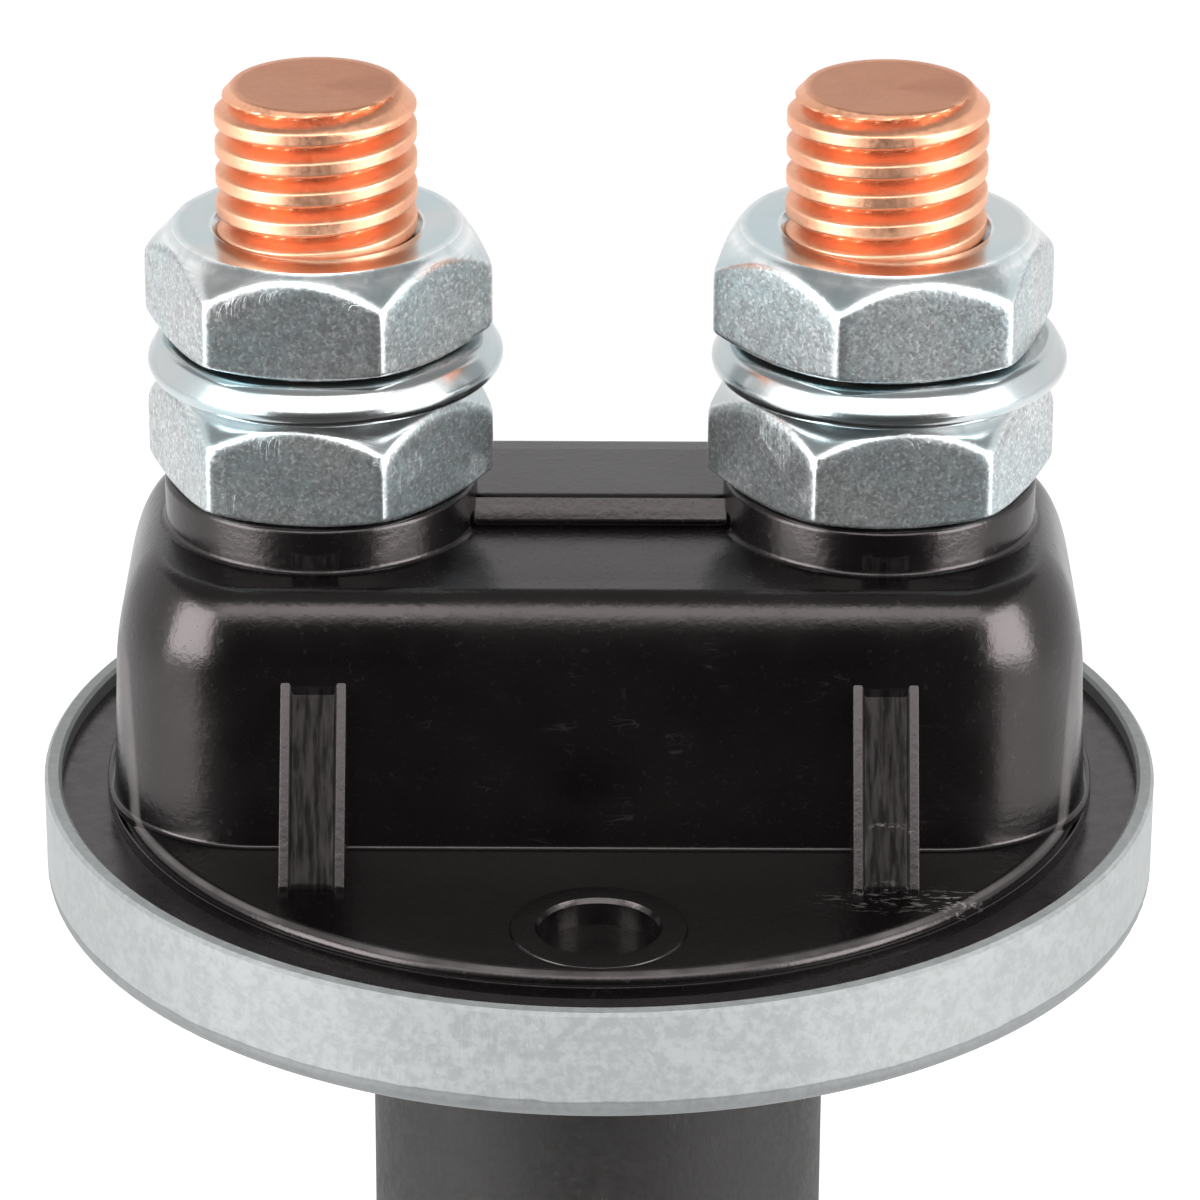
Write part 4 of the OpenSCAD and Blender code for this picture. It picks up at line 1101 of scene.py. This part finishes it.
class SWITCH_OT_lever(bpy.types.Operator):
    """Builds the lever: a tall round hub that blends into a tapered arm"""

    bl_idname = "switch.lever"
    bl_label = "Lever"

    def arm(self, s):
        tip_y, rounding, waist, stations = s.arm_length - s.arm_tip / 2, 2.6, 0.9, 13
        rings = []
        for height in np.linspace(0, s.arm_height, 21):
            from_face = min(height, s.arm_height - height, rounding)
            inset = rounding - math.sqrt(max(0.0, rounding ** 2 - (rounding - from_face) ** 2))
            root, tip = s.arm_root / 2 - inset, s.arm_tip / 2 - inset
            side = []
            for share in np.arange(1, stations) / stations:
                x = root + (tip - root) * share - waist * math.sin(math.pi * share)
                side.append((x, tip_y * share))
            outline = arc(0, tip_y, tip, 0, 180, 30) + [(-x, y) for x, y in reversed(side)]
            outline += arc(0, 0, root, 180, 360, 15) + side
            rings.append([(x, y, LEVER_FOOT + height) for x, y in outline])
        return skinned("arm", rings)

    def execute(self, context):
        s = bpy.context.scene.switch_lever
        foot, top, r = LEVER_FOOT, LEVER_TOP, s.hub_radius
        profile = [(0, foot)] + arc(r - 1.6, foot + 1.6, 1.6, -90, 0, 8) + [(r, foot + 8), (r, top - 6)]
        profile += arc(r - 0.6, top - 0.6, 0.6, 0, 90, 5) + [(0, top)]
        lever = lathe("lever", profile, 144)
        combine(lever, [self.arm(s)], "UNION")
        blend = lever.modifiers.new("Blend", "REMESH")
        blend.mode, blend.voxel_size, blend.use_smooth_shade = "VOXEL", s.voxel * MM, True
        soften = lever.modifiers.new("Soften", "SMOOTH")
        soften.factor, soften.iterations = 0.5, 6
        settle(lever)
        square, shaft_foot, well = 2.82, levels("shaft")[0], 5.4
        combine(lever, [
            boxed("square", (-square, -square, shaft_foot - 0.3), (square, square, top + 1)),
            lathe("well", [(0, foot - 1), (well + 0.3, foot - 1), (well, foot + 0.3), (well, foot + 4.5),
                           (0, foot + 4.5)], 64),
            rod("screw_hole", 2.6, foot, shaft_foot + 1, 48),
        ], "DIFFERENCE")
        crisp(lever, 35.0)
        lever.name = lever.data.name = "lever_grip"
        place(lever, LEVER_BODY, lever_finish(), "lever_plastic", "lever_handle")
        return {"FINISHED"}


class SWITCH_OT_index_words(bpy.types.Operator):
    """Prints ON and OFF on the index plate"""

    bl_idname = "switch.index_words"
    bl_label = "Index plate words"

    height: length("Letter height", "Height of the letters", 5.2)

    def execute(self, context):
        pieces = []
        for words, degrees in (("OFF", 90.0), ("ON", 180.0)):
            curve = bpy.data.curves.new(words, "FONT")
            curve.body, curve.size = words, self.height * MM * 1.35
            curve.align_x, curve.align_y = "CENTER", "CENTER"
            curve.extrude, curve.space_character = 0.02 * MM, 1.08
            text = linked(words, curve)
            graph = context.evaluated_depsgraph_get()
            mesh = bpy.data.meshes.new_from_object(text.evaluated_get(graph))
            bpy.data.objects.remove(text)
            out = Matrix.Translation((20.2 * MM, 0, PLATE_FOOT * MM))
            facing = Matrix.Rotation(math.radians(-90), 4, "Z") @ Matrix.Rotation(math.pi, 4, "Y")
            mesh.transform(Matrix.Rotation(math.radians(degrees), 4, "Z") @ out @ facing)
            pieces.append(linked(words, mesh))
        ink = plain_finish("index_ink", (0.012, 0.012, 0.013), 0.0, 0.38, 0.52, 2500.0, 0.2)
        place(joined("index_words", pieces), BODY, ink, "plate_aluminium")
        return {"FINISHED"}


class SWITCH_OT_frame_finishes(bpy.types.Operator):
    """Gives the housing, the hardware and the inner pieces their finishes"""

    bl_idname = "switch.frame_finishes"
    bl_label = "Housing and inner pieces"

    def execute(self, context):
        c = finish_colours()
        # Name, colour, metallic, lowest and highest roughness, grain's scale and depth, contrast, pieces.
        plain = (
            ("seal_rubber", c.rubber, 0.0, 0.55, 0.72, 1500.0, 0.5, 0.15, "base_gasket shaft_seal"),
            ("spring_steel", (0.46, 0.46, 0.47), 1.0, 0.22, 0.36, 3000.0, 0.2, 0.15,
             "shaft_clip bridge_clip contact_spring return_spring detent_springs"),
            ("turned_steel", (0.56, 0.56, 0.57), 1.0, 0.20, 0.34, 3000.0, 0.25, 0.15, "shaft"),
            ("acetal", c.acetal, 0.0, 0.32, 0.44, 1200.0, 0.2, 0.04, "thrust_washer cam_rotor"),
            ("carrier_nylon", c.nylon, 0.0, 0.40, 0.55, 900.0, 0.4, 0.10, "contact_carrier"),
            ("black_ring", (0.022, 0.020, 0.021), 0.0, 0.22, 0.34, 1500.0, 0.3, 0.15, "retaining_ring"),
            ("index_plate", c.plate, 0.85, 0.34, 0.46, 2200.0, 0.3, 0.06, "index_plate"),
            ("bearing_steel", (0.72, 0.72, 0.73), 1.0, 0.06, 0.12, 2500.0, 0.05, 0.03, "detent_balls"),
            ("bridge_copper", c.copper, 1.0, 0.24, 0.40, 2400.0, 0.3, 0.15, "contact_bridge"),
        )
        finishes = [(casting_finish(), "housing")]
        finishes.append((shared("plating"), "tooth_washer stem_nut handle_screw handle_spring_washer"))
        finishes += [(plain_finish(*look), nodes) for *look, nodes in plain]
        for material, nodes in finishes:
            for node in nodes.split():
                dress(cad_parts[node].data, material)
        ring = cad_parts["retaining_ring"].data.materials[0].node_tree.nodes["Principled BSDF"]
        ring.inputs["Specular Tint"].default_value = (1.0, 0.86, 0.88, 1.0)
        return {"FINISHED"}


class SWITCH_OT_stage(bpy.types.Operator):
    """Sets up the floor, the soft lamps and the camera"""

    bl_idname = "switch.stage"
    bl_label = "Studio"

    def sheet(self, name, corners, material, reflected_only=True):
        """A flat sheet, or several, of four corners each, that belongs to the studio."""
        mesh = bpy.data.meshes.new(name)
        mesh.from_pydata(corners, [], [tuple(range(k, k + 4)) for k in range(0, len(corners), 4)])
        mesh.materials.append(material)
        sheet = linked(name, mesh)
        if reflected_only:
            sheet.visible_camera = sheet.visible_shadow = sheet.visible_diffuse = False

    def floor(self, z, half=6.0):
        """A white floor that glows a little where it is seen, so that it fades into the backdrop."""
        material = bpy.data.materials.new("studio_floor")
        n = emptied(material)
        matt = n.add("ShaderNodeBsdfDiffuse", {"Color": (0.85, 0.85, 0.85, 1.0)})
        white = {"Color": (1.0, 1.0, 1.0, 1.0)}
        glow = n.add("ShaderNodeEmission", {**white, "Strength": n.times(n.seen(), 0.64)})
        both = n.add("ShaderNodeAddShader", {0: matt.outputs[0], 1: glow.outputs[0]})
        n.add("ShaderNodeOutputMaterial", {0: both.outputs[0]})
        corners = [(-half, -half, z), (half, -half, z), (half, half, z), (-half, half, z)]
        self.sheet("floor", corners, material, reflected_only=False)

    def card(self, name, corners, grey, glow=0.0):
        """A card that only reflections see, as a studio uses round shiny objects."""
        material = bpy.data.materials.new(name)
        material.use_nodes = True
        Nodes(material.node_tree).fill(material.node_tree.nodes["Principled BSDF"], {
            "Base Color": (*grey, 1.0), "Roughness": 0.9,
            "Emission Color": (1.0, 1.0, 1.0, 1.0), "Emission Strength": glow,
        })
        self.sheet(name, corners, material)

    def cards(self, z):
        """The dark front of the room and its dark ceiling, a bright table and a bright spot at each side."""
        low, high, ceiling = z + 0.002, 0.40, 0.95
        dark = (0.045, 0.043, 0.042)
        self.card("dark_front", [
            (-0.16, -0.15, low), (0.16, -0.15, low), (1.0, -0.9, low), (-1.0, -0.9, low),
            (-1.0, -0.9, low), (1.0, -0.9, low), (1.0, -0.9, high), (-1.0, -0.9, high),
        ], dark)
        self.card("dark_ceiling", [
            (-1.2, -0.58, ceiling), (1.2, -0.58, ceiling), (1.2, 1.1, ceiling), (-1.2, 1.1, ceiling),
        ], dark, 0.28)
        for side, word in SIDES:
            table = ((0.17, -0.15), (1.0, -0.88), (1.2, 0.3), (0.2, 0.05))
            self.card(word + "_table", [(side * x, y, low) for x, y in table], (0.42, 0.42, 0.42), 0.9)
        for side, word in SIDES:
            near, far, foot, top = (side * 0.47, -0.54), (side * 0.73, -0.17), -0.13, 0.42
            corners = [(*near, foot), (*far, foot), (*far, top), (*near, top)]
            self.card(word + "_spot", corners, (0.0, 0.0, 0.0), 8.5)

    def lamp(self, name, at, size, power):
        light = bpy.data.lights.new(name, "AREA")
        light.shape, light.size, light.size_y, light.energy = "RECTANGLE", *size, power
        lamp = linked(name, light)
        lamp.location = at
        lamp.rotation_euler = (Vector((0, 0, 0.02)) - Vector(at)).to_track_quat("-Z", "Y").to_euler()

    def execute(self, context):
        studio = context.scene.switch_studio
        self.floor(studio.floor_height)
        self.cards(studio.floor_height)
        for side, word in SIDES:
            self.lamp(word + "_softbox", (side * 0.69, -0.40, 0.18), (0.5, 0.56), studio.side_power)
        self.lamp("front_softbox", (0.0, -0.70, 0.66), (1.2, 0.38), studio.front_power)

        context.scene.world = bpy.data.worlds.new("studio_world")
        n = emptied(context.scene.world)
        strength = n.steps(n.seen(), 0.0, 1.0, 0.32, 1.0, smooth=False)
        glow = n.add("ShaderNodeBackground", {"Color": (1.0, 1.0, 1.0, 1.0), "Strength": strength})
        n.add("ShaderNodeOutputWorld", {0: glow.outputs[0]})

        lens = bpy.data.cameras.new("camera")
        lens.sensor_width, lens.lens = 36.0, studio.camera_lens
        lens.clip_start, lens.clip_end = 0.01, 20.0
        camera = context.scene.camera = linked("camera", lens)
        down = Matrix.Rotation(math.radians(90) - studio.camera_pitch, 4, "X")
        roll = Matrix.Rotation(studio.camera_roll, 4, "Z")
        camera.matrix_world = Matrix.Translation(studio.camera_place) @ down @ roll
        context.scene.view_settings.view_transform = "Standard"
        return {"FINISHED"}


OPERATORS = (
    SWITCH_OT_moulding, SWITCH_OT_studs, SWITCH_OT_nuts, SWITCH_OT_lock_washers, SWITCH_OT_lever,
    SWITCH_OT_index_words, SWITCH_OT_frame_finishes, SWITCH_OT_stage,
)


class SWITCH_PT_panel(bpy.types.Panel):
    """Lists the switch's pieces and its studio"""

    bl_idname = "SWITCH_PT_panel"
    bl_label = "Battery disconnect switch"
    bl_space_type = "VIEW_3D"
    bl_region_type = "UI"
    bl_category = "Switch"

    def draw(self, context):
        for operator in OPERATORS:
            self.layout.operator(operator.bl_idname, text=operator.bl_label)


GROUP_PLACES = {
    "switch_moulding": SwitchMouldingSizes,
    "switch_terminals": SwitchTerminalSizes,
    "switch_lever": SwitchLeverSizes,
    "switch_colours": SwitchColours,
    "switch_studio": SwitchStudio,
}
CLASSES = (*GROUP_PLACES.values(), *OPERATORS, SWITCH_PT_panel)


def register():
    for item in CLASSES:
        bpy.utils.register_class(item)
    for name, group in GROUP_PLACES.items():
        setattr(bpy.types.Scene, name, PointerProperty(type=group))


def unregister():
    for name in GROUP_PLACES:
        delattr(bpy.types.Scene, name)
    for item in reversed(CLASSES):
        bpy.utils.unregister_class(item)


def main():
    """Builds the whole scene."""
    register()
    for operator in OPERATORS:
        family, name = operator.bl_idname.split(".")
        getattr(getattr(bpy.ops, family), name)()


if __name__ == "__main__":
    main()
